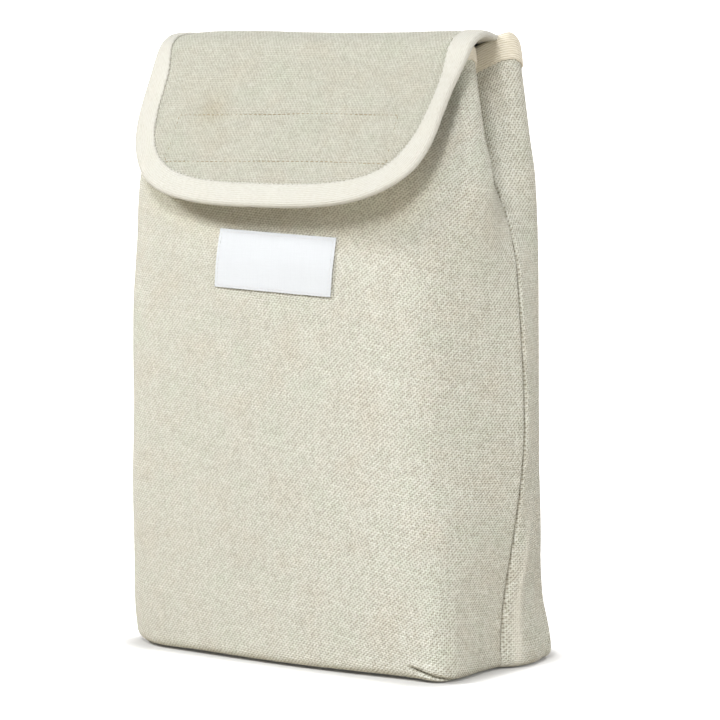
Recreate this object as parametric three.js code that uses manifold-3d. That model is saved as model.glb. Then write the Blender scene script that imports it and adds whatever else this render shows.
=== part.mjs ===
// An insulated lunch bag of linen. Its flap folds over the mouth and closes on hook-and-loop tape.
// Millimetres: X runs across the bag, Y from front to back and Z up. The origin is the middle of the base.
import * as THREE from 'three';
import { mergeVertices } from 'three/addons/utils/BufferGeometryUtils.js';
import Module from 'manifold-3d';

const wasm = await Module();
wasm.setup();

const degrees = THREE.MathUtils.degToRad;

// Cloth of the walls and the flap, from the outside in
const LINEN = 0.7;
const INSULATION = 1.5;
const LINING = 0.5;
const GAP = 0.3; // left between any two neighbouring pieces

// Shape of the bag, as sections from the base up. Each section gives the side seam, the fold at the
// front corner and the fold at the back corner (where it reaches to and its radius), and how far the
// middle of the front and the back bellies out. Widths and depths are counted from those of the base.
const BASE_WIDTH = 170;
const BASE_DEPTH = 80;
const BASE_EDGE = 5; // radius round the bottom
const WAIST_HEIGHT = 105;
const RIM_HEIGHT = 268;
const SHOULDER_DROP = 56; // below the rim
const CHEST_DROP = 96; // below the rim
const FLAP_SLOPE = degrees(62); // of the front shoulder and the flap that lies on it, down from level
const side = BASE_WIDTH / 2;
const front = -BASE_DEPTH / 2;
const back = BASE_DEPTH / 2;
const BASE = {
  z: BASE_EDGE, seamX: side + 0.5, seamY: 2,
  frontX: side, frontY: front, frontR: 7,
  backX: side, backY: back, backR: 7, belly: 0,
};
const WAIST = {
  z: WAIST_HEIGHT, seamX: side + 10.5, seamY: 6,
  frontX: side + 7.5, frontY: front - 5, frontR: 26,
  backX: side + 5.5, backY: back - 3.5, backR: 16, belly: 2,
};
const CHEST = {
  z: RIM_HEIGHT - CHEST_DROP, seamX: side + 6, seamY: 6,
  frontX: side + 8, frontY: front - 5, frontR: 26,
  backX: side + 5.5, backY: back - 6, backR: 13, belly: 2,
};
const SHOULDER = {
  z: RIM_HEIGHT - SHOULDER_DROP, seamX: side - 7, seamY: 6,
  frontX: side + 8, frontY: front - 2, frontR: 20,
  backX: side + 5, backY: back - 8, backR: 10, belly: 0,
};
const RIM = {
  z: RIM_HEIGHT, seamX: side - 28, seamY: 6,
  frontX: side - 8, frontY: SHOULDER.frontY + SHOULDER_DROP / Math.tan(FLAP_SLOPE), frontR: 5.5,
  backX: side + 2.5, backY: back - 18.5, backR: 5.5, belly: 0,
};
const SECTIONS = [BASE, WAIST, CHEST, SHOULDER, RIM];

// Tape that binds the mouth and the flap
const TAPE = 0.6; // thickness
const TAPE_WIDTH = 10.5; // seen on each face
const RIM_CLEARANCE = 0.5; // between the tape of the rim and the tape of the flap above it

// Flap
const FLAP_INSET = 1; // of the flap's cloth from the back corners of the rim, on each side
const FLAP_TOP_RISE = degrees(2.5); // of the flap's top, towards the front
const FLAP_DROP = 87; // from the front fold to the lip, along the cloth
const FLAP_CORNER = 40; // radius of the two lower corners
const FLAP_TAPE_START = 3.5; // the tape stops this far from the hinge at the back

// Hook-and-loop closure: the hooks under the flap, the loops on the front
const CLOSURE_WIDTH = 125;
const CLOSURE_HEIGHT = 25;
const CLOSURE_ABOVE_LIP = 22;
const HOOK_TAPE = 1.2;
const LOOP_TAPE = 1.2;

// Label sewn on the front
const LABEL_WIDTH = 64;
const LABEL_HEIGHT = 26;
const LABEL_THICKNESS = 0.5;
const LABEL_DROP = 93; // of its middle, below the rim
const LABEL_TILT = degrees(-2.5);

// Sewing thread, laid as one line beside the edge that it holds
const THREAD = 0.5;
const THREAD_INSET = 2;

// Fineness of the curved surfaces
const FACE_STEPS = 3;
const FOLD_STEPS = 5;
const EDGE_STEPS = 3;
const WALL_ROWS = 7;
const SHOULDER_ROWS = 3;
const CORNER_STEPS = 8;

// A cutting solid reaches this far past what it cuts
const REACH = BASE_WIDTH + BASE_DEPTH;
const FLAP_HALF_WIDTH = RIM.backX - FLAP_INSET;

// Depths of the layers below the outer face of the cloth
const linen = { from: 0, to: LINEN };
const insulation = { from: linen.to + GAP, to: linen.to + GAP + INSULATION };
const lining = { from: insulation.to + GAP, to: insulation.to + GAP + LINING };
const CLOTH = lining.to;
const tapeOver = { from: -GAP - TAPE, to: CLOTH + GAP + TAPE };
const tapeSlot = { from: -GAP, to: CLOTH + GAP };
const hookTape = { from: CLOTH + GAP, to: CLOTH + GAP + HOOK_TAPE };
const cutDepth = tapeOver.to + TAPE; // of a cut that goes through the cloth and its tape

// Slope of a section's value at that section, level where the value turns back
function slopeAt(field, i) {
  const secant = (k) =>
    (SECTIONS[k + 1][field] - SECTIONS[k][field]) / (SECTIONS[k + 1].z - SECTIONS[k].z);
  if (i === 0) return 0;
  if (i === SECTIONS.length - 1) return secant(i - 1);
  const [below, above] = [secant(i - 1), secant(i)];
  return below * above <= 0 ? 0 : (2 * below * above) / (below + above);
}

// A section's value at any height, smooth and without overshoot between the sections
function valueAt(field, z) {
  const above = SECTIONS.findIndex((s) => s.z > z);
  const i = THREE.MathUtils.clamp(above < 0 ? SECTIONS.length : above, 1, SECTIONS.length - 1) - 1;
  const [a, b] = [SECTIONS[i], SECTIONS[i + 1]];
  const rise = b.z - a.z;
  const t = THREE.MathUtils.clamp((z - a.z) / rise, 0, 1);
  const step = t * t * (3 - 2 * t);
  const leave = t * (1 - t) * (1 - t) * rise * slopeAt(field, i);
  const arrive = t * t * (t - 1) * rise * slopeAt(field, i + 1);
  return a[field] + (b[field] - a[field]) * step + leave + arrive;
}

// Outer face of the front: straight on the shoulder, where the flap lies
function frontAt(z) {
  if (z < SHOULDER.z) return valueAt('frontY', z);
  return SHOULDER.frontY + (z - SHOULDER.z) / Math.tan(FLAP_SLOPE);
}

// Points of a fold's arc from one angle to another
function arc(centre, radius, from, to) {
  return Array.from({ length: FOLD_STEPS + 1 }, (_, k) => {
    const angle = from + ((to - from) * k) / FOLD_STEPS;
    return new THREE.Vector2(centre.x + radius * Math.cos(angle), centre.y + radius * Math.sin(angle));
  });
}

// Outline of the bag at one height, anticlockwise from the middle of the front. The cloth runs from
// the front fold straight to the side seam and on to the back fold, so a seam that lies further in
// than the folds makes the pleat of the gusset.
function outlineAt(z) {
  const v = (field) => valueAt(field, z);
  const seam = new THREE.Vector2(v('seamX'), v('seamY'));
  const frontFold = new THREE.Vector2(v('frontX') - v('frontR'), frontAt(z) + v('frontR'));
  const backFold = new THREE.Vector2(v('backX') - v('backR'), v('backY') - v('backR'));
  const bearing = (centre) => Math.atan2(seam.y - centre.y, seam.x - centre.x);
  const wrap = (centre, radius) => Math.acos(radius / seam.distanceTo(centre));
  const leave = bearing(frontFold) - wrap(frontFold, v('frontR'));
  const arrive = bearing(backFold) + wrap(backFold, v('backR'));

  const right = [];
  for (let k = 0; k < FACE_STEPS; k++) {
    const share = k / FACE_STEPS;
    right.push(new THREE.Vector2(frontFold.x * share, frontAt(z) - v('belly') * (1 - share * share)));
  }
  right.push(...arc(frontFold, v('frontR'), -Math.PI / 2, leave));
  right.push(seam);
  right.push(...arc(backFold, v('backR'), arrive, Math.PI / 2));
  for (let k = FACE_STEPS - 1; k >= 0; k--) {
    const share = k / FACE_STEPS;
    right.push(new THREE.Vector2(backFold.x * share, v('backY') + v('belly') * (1 - share * share)));
  }
  const left = right.slice(1, -1).reverse().map((p) => new THREE.Vector2(-p.x, p.y));
  return [...right, ...left];
}

// The same outline moved inwards, corner by corner
function inset(outline, depth) {
  const n = outline.length;
  return outline.map((p, i) => {
    const before = p.clone().sub(outline[(i + n - 1) % n]).normalize();
    const after = outline[(i + 1) % n].clone().sub(p).normalize();
    const inwards = new THREE.Vector2(-before.y - after.y, before.x + after.x).normalize();
    const across = inwards.dot(new THREE.Vector2(-before.y, before.x));
    return p.clone().addScaledVector(inwards, depth / across);
  });
}

// Closed solid of a three.js geometry
function solidOf(geometry) {
  geometry.deleteAttribute('normal');
  geometry.deleteAttribute('uv');
  const merged = mergeVertices(geometry, 1e-4);
  return new wasm.Manifold(new wasm.Mesh({
    numProp: 3,
    vertProperties: merged.attributes.position.array,
    triVerts: new Uint32Array(merged.index.array),
  }));
}

// Solid through a stack of outlines that have the same number of points
function loft(rings) {
  const n = rings[0].points.length;
  const positions = rings.flatMap((ring) => ring.points.flatMap((p) => [p.x, p.y, ring.z]));
  const faces = [];
  for (let k = 0; k + 1 < rings.length; k++) {
    for (let i = 0; i < n; i++) {
      const [a, b] = [k * n + i, k * n + ((i + 1) % n)];
      faces.push(a, b, b + n, a, b + n, a + n);
    }
  }
  const last = (rings.length - 1) * n;
  THREE.ShapeUtils.triangulateShape(rings[0].points, []).forEach(([a, b, c]) => faces.push(a, c, b));
  THREE.ShapeUtils.triangulateShape(rings.at(-1).points, [])
    .forEach(([a, b, c]) => faces.push(last + a, last + b, last + c));
  const geometry = new THREE.BufferGeometry();
  geometry.setAttribute('position', new THREE.Float32BufferAttribute(positions, 3));
  geometry.setIndex(faces);
  return solidOf(geometry);
}

const wallHeights = [
  ...Array.from({ length: WALL_ROWS }, (_, k) => BASE_EDGE + ((SHOULDER.z - BASE_EDGE) * k) / WALL_ROWS),
  ...Array.from({ length: SHOULDER_ROWS + 1 },
    (_, k) => SHOULDER.z + ((RIM_HEIGHT - SHOULDER.z) * k) / SHOULDER_ROWS),
];

// The whole bag as a solid, a depth inside its outer face, carried straight up to the given top
function bagInside(depth, top) {
  const edge = BASE_EDGE - depth;
  const foot = outlineAt(BASE_EDGE);
  const rings = [];
  for (let k = 0; k < EDGE_STEPS; k++) {
    const angle = (Math.PI / 2) * (k / EDGE_STEPS);
    rings.push({
      points: inset(foot, depth + edge * (1 - Math.sin(angle))),
      z: depth + edge * (1 - Math.cos(angle)),
    });
  }
  wallHeights.forEach((z) => rings.push({ points: inset(outlineAt(z), depth), z }));
  if (top > RIM_HEIGHT) rings.push({ points: rings.at(-1).points, z: top });
  return loft(rings);
}

// Shell of the bag between two depths, open at the top
function bagShell(layer, top) {
  return bagInside(layer.from, top).subtract(bagInside(layer.to, top + REACH));
}

// Solid of an outline drawn in Y and Z, drawn out across the bag
function acrossX(points, from, to) {
  const outline = new THREE.Shape(points.map(([y, z]) => new THREE.Vector2(y, z)));
  const geometry = new THREE.ExtrudeGeometry(outline, { depth: to - from, bevelEnabled: false });
  const turn = new THREE.Matrix4().makeBasis(
    new THREE.Vector3(0, 1, 0), new THREE.Vector3(0, 0, 1), new THREE.Vector3(1, 0, 0));
  return solidOf(geometry.applyMatrix4(turn).translate(from, 0, 0));
}

// Solid of a shape drawn in X and Z, drawn out from the middle of the bag to the front
function towardsFront(shape) {
  const geometry = new THREE.ExtrudeGeometry(shape, { depth: REACH, bevelEnabled: false });
  return solidOf(geometry.rotateX(Math.PI / 2));
}

// Box between two corners
function box(low, high) {
  const size = high.map((h, k) => h - low[k]);
  const middle = high.map((h, k) => (h + low[k]) / 2);
  return solidOf(new THREE.BoxGeometry(...size).translate(...middle));
}

// Rectangle about a middle point, turned in its own plane, with a smaller one cut out of it if asked for
function rectangle(middle, width, height, tilt = 0, frame = 0) {
  const corners = (w, h) => [[-w, -h], [w, -h], [w, h], [-w, h]].map(([x, y]) =>
    new THREE.Vector2(x / 2, y / 2).rotateAround(new THREE.Vector2(), tilt).add(middle));
  const shape = new THREE.Shape(corners(width, height));
  if (frame > 0) shape.holes.push(new THREE.Path(corners(width - 2 * frame, height - 2 * frame)));
  return shape;
}

// Where the flap turns: the hinge over the back wall, and the fold over the front of the mouth
const flapRise = new THREE.Vector2(-Math.cos(FLAP_TOP_RISE), Math.sin(FLAP_TOP_RISE));
const flapFall = new THREE.Vector2(-Math.cos(FLAP_SLOPE), -Math.sin(FLAP_SLOPE));
const underFlap = new THREE.Vector2(Math.sin(FLAP_SLOPE), -Math.cos(FLAP_SLOPE));
const hinge = new THREE.Vector2(
  RIM.backY, RIM_HEIGHT + GAP + TAPE + RIM_CLEARANCE + tapeOver.to);
const fold = foldPoint();

// The flap's front lies on the shoulder with the closure between them; its top runs from the hinge to it
function foldPoint() {
  const stack = hookTape.to + GAP + LOOP_TAPE + GAP;
  const lying = new THREE.Vector2(RIM.frontY, RIM_HEIGHT).addScaledVector(underFlap, -stack);
  const across = lying.clone().sub(hinge);
  const top = across.cross(flapFall) / flapRise.cross(flapFall);
  return hinge.clone().addScaledVector(flapRise, top);
}

// Cut of the back wall and the flap's top where they meet at the hinge, and of the top and front at the fold
const hingeMitre = Math.tan((Math.PI / 2 - FLAP_TOP_RISE) / 2);
const foldMitre = Math.tan((FLAP_SLOPE + FLAP_TOP_RISE) / 2);

// A point of the flap's top: how far from the hinge, how deep below the outer face
function onTop(along, depth) {
  const p = hinge.clone().addScaledVector(flapRise, along);
  return [p.x - depth * Math.sin(FLAP_TOP_RISE), p.y - depth * Math.cos(FLAP_TOP_RISE)];
}

// The flap's top between two depths, mitred at the hinge and the fold, or run past them to be cut later
function flapTop(layer, halfWidth, past = 0) {
  const start = GAP / 2 - past;
  const end = hinge.distanceTo(fold) - GAP / 2 + past;
  return acrossX([
    onTop(start + layer.from * hingeMitre, layer.from),
    onTop(start + layer.to * hingeMitre, layer.to),
    onTop(end - layer.to * foldMitre, layer.to),
    onTop(end - layer.from * foldMitre, layer.from),
  ], -halfWidth, halfWidth);
}

// Outline of the flap's front, as wide as the cloth and some more, in X and along the cloth from the fold
function flapFrontShape(grow) {
  const [half, lip, radius] = [FLAP_HALF_WIDTH + grow, -FLAP_DROP - grow, FLAP_CORNER + grow];
  const shape = new THREE.Shape();
  shape.moveTo(half, 0);
  shape.lineTo(-half, 0);
  shape.lineTo(-half, lip + radius);
  shape.absarc(-half + radius, lip + radius, radius, Math.PI, 1.5 * Math.PI);
  shape.lineTo(half - radius, lip);
  shape.absarc(half - radius, lip + radius, radius, 1.5 * Math.PI, 2 * Math.PI);
  return shape;
}

// A shape drawn on the flap's front, between two depths below its outer face
function onFlapFront(shape, layer) {
  const geometry = new THREE.ExtrudeGeometry(shape, {
    depth: layer.to - layer.from, bevelEnabled: false, curveSegments: CORNER_STEPS,
  });
  geometry.translate(0, 0, -layer.to);
  const frame = new THREE.Matrix4().makeBasis(
    new THREE.Vector3(1, 0, 0),
    new THREE.Vector3(0, -flapFall.x, -flapFall.y),
    new THREE.Vector3(0, -underFlap.x, -underFlap.y));
  frame.setPosition(0, fold.x, fold.y);
  return solidOf(geometry.applyMatrix4(frame));
}

// What the flap's front may fill beside the fold, so that it can turn there
function beyondFold() {
  const at = (along, depth) => {
    const p = fold.clone().addScaledVector(flapFall, along).addScaledVector(underFlap, depth);
    return [p.x, p.y];
  };
  return acrossX([
    at(GAP / 2, -cutDepth), at(GAP / 2, 0), at(GAP / 2 + cutDepth * foldMitre, cutDepth),
    at(REACH, cutDepth), at(REACH, -cutDepth),
  ], -REACH, REACH);
}

// What the flap's top may fill beside the hinge and the fold; its tape starts a little after the hinge
function besideTop() {
  const end = hinge.distanceTo(fold) - GAP / 2;
  return acrossX([
    onTop(FLAP_TAPE_START, -cutDepth),
    onTop(FLAP_TAPE_START, 0),
    onTop(FLAP_TAPE_START + cutDepth * hingeMitre, cutDepth),
    onTop(end - cutDepth * foldMitre, cutDepth),
    onTop(end, 0),
    onTop(end, -cutDepth),
  ], -REACH, REACH);
}

// Halves of the bag before and behind the side seams, up to the rim; the back goes on up to the hinge
function frontHalf() {
  const seam = wallHeights.map((z) => [valueAt('seamY', z) - GAP / 2, z]);
  const [foot, rim] = [seam[0][0], seam.at(-1)];
  return acrossX([[-REACH, -REACH], [foot, -REACH], ...seam, [-REACH, rim[1]]], -REACH, REACH);
}

function backHalf() {
  const seam = wallHeights.map((z) => [valueAt('seamY', z) + GAP / 2, z]);
  const foot = seam[0][0];
  const below = acrossX(
    [[REACH, RIM_HEIGHT], ...seam.reverse(), [foot, -REACH], [REACH, -REACH]], -REACH, REACH);
  const half = RIM.backX - RIM.backR;
  const mitre = Math.tan(Math.PI / 4 + FLAP_TOP_RISE / 2);
  const mitred = (depth) => [hinge.x - depth, hinge.y - depth / mitre - GAP];
  const deep = CLOTH + GAP;
  const upright = acrossX([
    [hinge.x - deep, SHOULDER.z], [hinge.x + deep, SHOULDER.z], [hinge.x + deep, hinge.y - GAP],
    mitred(0), mitred(deep),
  ], -half, half);
  return below.add(upright.intersect(box([-REACH, 0, RIM_HEIGHT - TAPE], [REACH, REACH, REACH * 2])));
}

// Tape folded over the rim, along the front and both gussets to the back folds
function rimBinding() {
  const top = RIM_HEIGHT + GAP + TAPE;
  const whole = bagInside(tapeOver.from, top).subtract(bagInside(tapeOver.to, top + REACH));
  const slot = bagInside(tapeSlot.from, RIM_HEIGHT + GAP).subtract(bagInside(tapeSlot.to, top + REACH));
  const band = box([-REACH, -REACH, RIM_HEIGHT - TAPE_WIDTH], [REACH, REACH, top + TAPE]);
  const half = RIM.backX - RIM.backR + GAP;
  const backWall = box([-half, RIM.backY - RIM.backR, 0], [half, REACH, REACH * 2]);
  return whole.subtract(slot).intersect(band).subtract(backWall);
}

// Piece sewn on the front of the bag: a shape that follows the cloth between two depths
function onFront(shape, layer) {
  return bagShell(layer, RIM_HEIGHT).intersect(towardsFront(shape));
}

// Tape folded over the sides and the lip of the flap's front
function flapFrontBinding() {
  const whole = onFlapFront(flapFrontShape(GAP + TAPE), tapeOver);
  const slot = onFlapFront(flapFrontShape(GAP), tapeSlot);
  const window = onFlapFront(flapFrontShape(-TAPE_WIDTH), { from: -cutDepth, to: cutDepth });
  return whole.subtract(slot).subtract(window).intersect(beyondFold());
}

// Tape folded over one side of the flap's top
function flapTopBinding(hand) {
  const whole = flapTop(tapeOver, FLAP_HALF_WIDTH + GAP + TAPE, TAPE_WIDTH);
  const slot = flapTop(tapeSlot, FLAP_HALF_WIDTH + GAP, TAPE_WIDTH * 2);
  const inner = FLAP_HALF_WIDTH - TAPE_WIDTH;
  const strip = hand > 0
    ? box([inner, -REACH, 0], [REACH, REACH, REACH * 2])
    : box([-REACH, -REACH, 0], [-inner, REACH, REACH * 2]);
  return whole.subtract(slot).intersect(strip).intersect(besideTop());
}

const closureMiddle = new THREE.Vector2(0, -FLAP_DROP + CLOSURE_ABOVE_LIP + CLOSURE_HEIGHT / 2);

// The loop tape lies on the shoulder straight under the hook tape
function loopShape() {
  const under = fold.clone().addScaledVector(flapFall, -closureMiddle.y)
    .addScaledVector(underFlap, hookTape.to + GAP);
  const height = CLOSURE_HEIGHT * Math.sin(FLAP_SLOPE);
  return rectangle(new THREE.Vector2(0, under.y), CLOSURE_WIDTH, height);
}

// The label, or a frame of the given width that lies inside its edge
function labelShape(shrink = 0, frame = 0) {
  const middle = new THREE.Vector2(0, RIM_HEIGHT - LABEL_DROP);
  return rectangle(middle, LABEL_WIDTH - shrink, LABEL_HEIGHT - shrink, LABEL_TILT, frame);
}

// A line of thread that lies on something whose outer face is at this depth
function threadOn(depth) {
  return { from: depth - GAP - THREAD, to: depth - GAP };
}

function material(colour, roughness, metalness = 0) {
  return new THREE.MeshStandardMaterial({ color: colour, roughness, metalness });
}

const part = new THREE.Group();

function add(name, solid, look) {
  const made = solid.getMesh();
  const geometry = new THREE.BufferGeometry();
  geometry.setAttribute('position', new THREE.Float32BufferAttribute(made.vertProperties, made.numProp));
  geometry.setIndex(Array.from(made.triVerts));
  const flat = geometry.toNonIndexed();
  flat.computeVertexNormals();
  const mesh = new THREE.Mesh(flat, look());
  mesh.name = name;
  part.add(mesh);
}

const linenLook = () => material('#d8d2c2', 0.95);
const waddingLook = () => material('#efede6', 1);
const liningLook = () => material('#c9ccce', 0.4, 0.5);
const tapeLook = () => material('#f3eddc', 0.9);
const hookLook = () => material('#e9e4d6', 0.7);
const loopLook = () => material('#ece8dc', 1);
const labelLook = () => material('#f4f5f7', 0.85);
const threadLook = () => material('#efe9d9', 0.8);

// Bag
const halves = { front: frontHalf(), back: backHalf() };
const carriedUp = RIM_HEIGHT + CLOTH * 2;
for (const [name, half] of Object.entries(halves)) {
  add(`outer_${name}_panel`, bagShell(linen, carriedUp).intersect(half), linenLook);
  add(`insulation_${name}`, bagShell(insulation, carriedUp).intersect(half), waddingLook);
  add(`lining_${name}`, bagShell(lining, carriedUp).intersect(half), liningLook);
}
add('rim_binding', rimBinding(), tapeLook);

const loopTape = { from: -GAP - LOOP_TAPE, to: -GAP };
const labelLayer = { from: -GAP - LABEL_THICKNESS, to: -GAP };
add('loop_tape', onFront(loopShape(), loopTape), loopLook);
add('label', onFront(labelShape(), labelLayer), labelLook);
add('label_stitching', onFront(labelShape(THREAD_INSET, THREAD), threadOn(labelLayer.from)), threadLook);

// Top of the flap
add('flap_top_linen', flapTop(linen, FLAP_HALF_WIDTH), linenLook);
add('flap_top_insulation', flapTop(insulation, FLAP_HALF_WIDTH), waddingLook);
add('flap_top_lining', flapTop(lining, FLAP_HALF_WIDTH), liningLook);
add('flap_top_binding_left', flapTopBinding(-1), tapeLook);
add('flap_top_binding_right', flapTopBinding(1), tapeLook);

// Front of the flap
const turning = beyondFold();
add('flap_front_linen', onFlapFront(flapFrontShape(0), linen).intersect(turning), linenLook);
add('flap_front_insulation', onFlapFront(flapFrontShape(0), insulation).intersect(turning), waddingLook);
add('flap_front_lining', onFlapFront(flapFrontShape(0), lining).intersect(turning), liningLook);
add('flap_front_binding', flapFrontBinding(), tapeLook);
add('hook_tape', onFlapFront(rectangle(closureMiddle, CLOSURE_WIDTH, CLOSURE_HEIGHT), hookTape), hookLook);
const closureSeam = rectangle(
  closureMiddle, CLOSURE_WIDTH - THREAD_INSET, CLOSURE_HEIGHT - THREAD_INSET, 0, THREAD);
add('closure_stitching', onFlapFront(closureSeam, threadOn(0)), threadLook);

export default part;
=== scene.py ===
"""Looks of the insulated lunch bag: linen walls and flap over wadding and lining, bound with cream tape.

All shapes are worked out in millimetres in the part's own frame and turned into metres when a mesh is made.
"""
import math
from collections import namedtuple
import bpy
import numpy as np
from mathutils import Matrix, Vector, noise


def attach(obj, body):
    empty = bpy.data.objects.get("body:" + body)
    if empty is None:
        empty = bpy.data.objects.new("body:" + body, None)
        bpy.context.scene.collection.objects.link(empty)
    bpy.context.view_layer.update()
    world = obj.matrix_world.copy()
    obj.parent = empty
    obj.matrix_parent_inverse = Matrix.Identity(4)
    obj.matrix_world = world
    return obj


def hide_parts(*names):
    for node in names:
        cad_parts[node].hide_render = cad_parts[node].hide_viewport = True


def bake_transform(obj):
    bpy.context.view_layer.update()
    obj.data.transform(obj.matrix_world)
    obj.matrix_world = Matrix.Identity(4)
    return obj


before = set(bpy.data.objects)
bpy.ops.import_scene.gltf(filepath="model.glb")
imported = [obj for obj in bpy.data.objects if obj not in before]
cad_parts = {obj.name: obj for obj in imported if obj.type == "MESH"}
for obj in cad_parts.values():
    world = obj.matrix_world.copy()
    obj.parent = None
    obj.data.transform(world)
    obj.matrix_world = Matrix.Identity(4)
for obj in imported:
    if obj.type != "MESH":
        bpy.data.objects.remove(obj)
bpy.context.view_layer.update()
scene = bpy.context.scene

MM = 0.001
SEED_STEP = 17.3

# Cloth layers, as depths below the outer face of the linen
LINEN = (0.0, 0.7)
WADDING = (1.0, 2.5)
LINING = (2.8, 3.3)

# Sections of the bag from the base up. They follow the solids, but the front's base stands further forward
# and is rounder at the left, the top of the back is narrower, and the front is slacker on the right, where it
# turns by the swell (in degrees) before its corner.
FIELDS = (
    "z", "seam_x", "seam_y", "front_x", "front_y", "front_r", "back_x", "back_y", "back_r", "belly",
    "right_x", "right_r", "swell")
SECTIONS = np.array([
    (3.6, 86.2, 2, 92.4, -47, 29, 85, 40, 4.2, 2, 85, 9, 10),
    (105, 97, 6, 92.5, -45, 26, 89.8, 36.5, 16, 2, 91, 42, 13),
    (172, 92.2, 6, 93, -45, 26, 89, 34, 13, 2, 88.5, 33, 15),
    (212, 77.5, 6, 92, -42, 20, 87.6, 32, 10, 0, 93, 12, 14),
    (232, 65, 6, 88, -31.37, 15.4, 86.3, 28.25, 8.4, 0, 87.5, 8, 10),
    (268, 57, 6, 74.8, -12.22, 5.5, 83.6, 21.5, 5.5, 0, 75.5, 5.5, 0),
], float)
SHOULDER_ROW = 3
BASE_EDGE, SHOULDER, RIM = SECTIONS[[0, SHOULDER_ROW, -1], 0]
FRONT_AT_SHOULDER = SECTIONS[SHOULDER_ROW, FIELDS.index("front_y")]
BACK_AT_SHOULDER, BACK_AT_RIM = SECTIONS[[SHOULDER_ROW, -1], FIELDS.index("back_y")]
FLAP_SLOPE = math.radians(62)
SHOULDER_SOFTNESS = 11
SOFT_STEPS = np.linspace(-2.4, 2.4, 17)

# Columns of the wall's grid, from the middle of the front to the middle of the back
FACE, FOLD, LEAF, BEND, BACK_FOLD, BACK = 46, 22, 20, 16, 12, 60
SEAM = FACE + FOLD + LEAF + BEND // 2
BACK_EDGE = FACE + FOLD + 2 * LEAF + BEND + BACK_FOLD
HALF = BACK_EDGE + BACK

# How the columns crowd towards the corner of the front and towards the seam, and the round at the seam
EVEN_SHARE, CROWDED_SHARE = 0.45, 0.55
SEAM_CROWDING = 1.8
SEAM_ROUND, LEAF_SHARE = 6, 0.4

# Rows of the wall's grid: round the edge of the bottom, across it, their steps at heights, and above the rim
EDGE_ROWS = 10
BOTTOM_ROWS = 8
ROW_STEPS = ([3, 10, 16, 40, 225, 250], [0.55, 0.55, 1.0, 2.4, 2.4, 1.5])
ROWS_ABOVE_RIM = (1, 2.5)

# How far the rim stands above its level and the bottom edge above the floor, at columns, and where they fade
RIM_RISE = (
    [0, 0.7 * FACE, FACE + 0.5 * FOLD, SEAM, BACK_EDGE - 0.7 * BACK_FOLD, BACK_EDGE, HALF],
    [0, 0, 3.4, -4.0, 8.0, 0, 0])
RISE_FROM = 205
BASE_LIFT = (
    [0, 0.6 * FACE, FACE + 0.5 * FOLD, SEAM, BACK_EDGE - 0.5 * BACK_FOLD, HALF - 0.4 * BACK, HALF],
    [0.6, 0.9, 0, 0.1, 0, 0.5, 0.6])
LEFT_LIFT = (1.3, -FACE - 0.8 * FOLD, 0.6 * FOLD)
LIFT_FADE = (2, 40)
RISE_PASSES, LIFT_PASSES = 3, 30

# Heights between which relief turns from sideways to straight out, and up to which no normal points up
RELIEF_TURNS = (4, 14)
NEAR_FLOOR = 8

# Grain of the front: how far the warp leans right, and how steeply the weft sags at runs from the middle
WARP_LEAN = 0.07
WEFT_SLOPE = ([-120, 10, 45, 75, 105, 125], [0.07, 0.08, 0.16, 0.16, 0.08, 0.02])
GRAIN_REACH = 150

# Where the weft of the back and the flap is counted from, clear of the front's
BACK_U = 400.0

# Waves of the cloth as wavelength, height and seed, and the heights between which the wall's show
WALL_WAVES = ((85, 1.0, 1), (34, 0.45, 2))
FLAP_WAVES = ((60, 0.7, 5), (24, 0.3, 6))
WAVES_SHOW = (6, 40, 200, 250)

# Side seams: the heights between which they show, the groove's depth and its painted shade at heights (the
# base pulls it open), and the lips beside it. Lips and other ridges are given as height, place and width.
SEAM_SHOWS = (3, 12, 246, 256)
SEAM_GROOVE = ([10, 70], [1.2, 2.4])
SEAM_SHADE = ([6, 75], [0.3, 1.0])
GROOVE_WIDTH, SHADE_WIDTH = 0.75, 0.6
SEAM_LIP = (0.15, 2.4, 1.5)

# Fold behind each side seam near the base: its distance from the seam and its width are given at heights
CREST_HEIGHT = 4.2
CREST_FALL = 24.0
CREST_SHARPNESS = 7.0
CREST_AT = ([0, 28, 68, 90], [6.5, 5.5, 9.5, 15])
CREST_WIDTH = ([0, 60], [2.3, 1.6])
CREST_FADE = (40, 92)

# How far the side stands out at the base, at runs from the seam towards the back
FOOT = ([-14, 0, 6, 12, 18, 24, 31, 40], [0, 0.5, 1.6, 4.4, 5.4, 4.8, 2.0, 0])
FOOT_FADE = (3, 42)

# Bulge of the left front corner at heights, and flare of all corners at the base
LEFT_BULGE = (
    [0, 5, 14, 24, 75, 100, 130, 156, 183, 205], [0.2, 1.5, 2.6, 3.1, 3.3, 2.8, 2.4, 1.7, 0.6, 0])
BULGE_WIDTH = 30
FRONT_FLARE, BACK_FLARE = (2.6, 10, 16), (3.0, 0, 11)
LEFT_FLARE = 0.3
FLARE_FADE = (3, 30)

# Slit in the bottom edge at the right front corner: its height at runs, its ends, and its groove and lips
SLIT_LINE = ([71, 88], [5.4, 0.6])
SLIT_ENDS = (69, 72.5, 84, 90)
SLIT_RIDGES = ((-3.0, 0, 0.65), (0.7, -2.0, 1.2), (0.7, 2.4, 1.8))


def smooth(x, low, high):
    t = np.clip((np.asarray(x, float) - low) / (high - low), 0, 1)
    return t * t * (3 - 2 * t)


def between(x, start, full, falls, end):
    return smooth(x, start, full) * (1 - smooth(x, falls, end))


def hump(x, width):
    return np.exp(-(np.asarray(x, float) / width) ** 2)


def ridges(x, *sizes):
    return sum(height * hump(x - place, width) for height, place, width in sizes)


def wander(points, wavelength, seed):
    """Smooth noise from -1 to 1 over points given in millimetres."""
    flat = np.asarray(points, float).reshape(-1, 3) / wavelength + seed * SEED_STEP
    return np.array([noise.noise(Vector(p)) for p in flat]).reshape(np.shape(points)[:-1])


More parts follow.
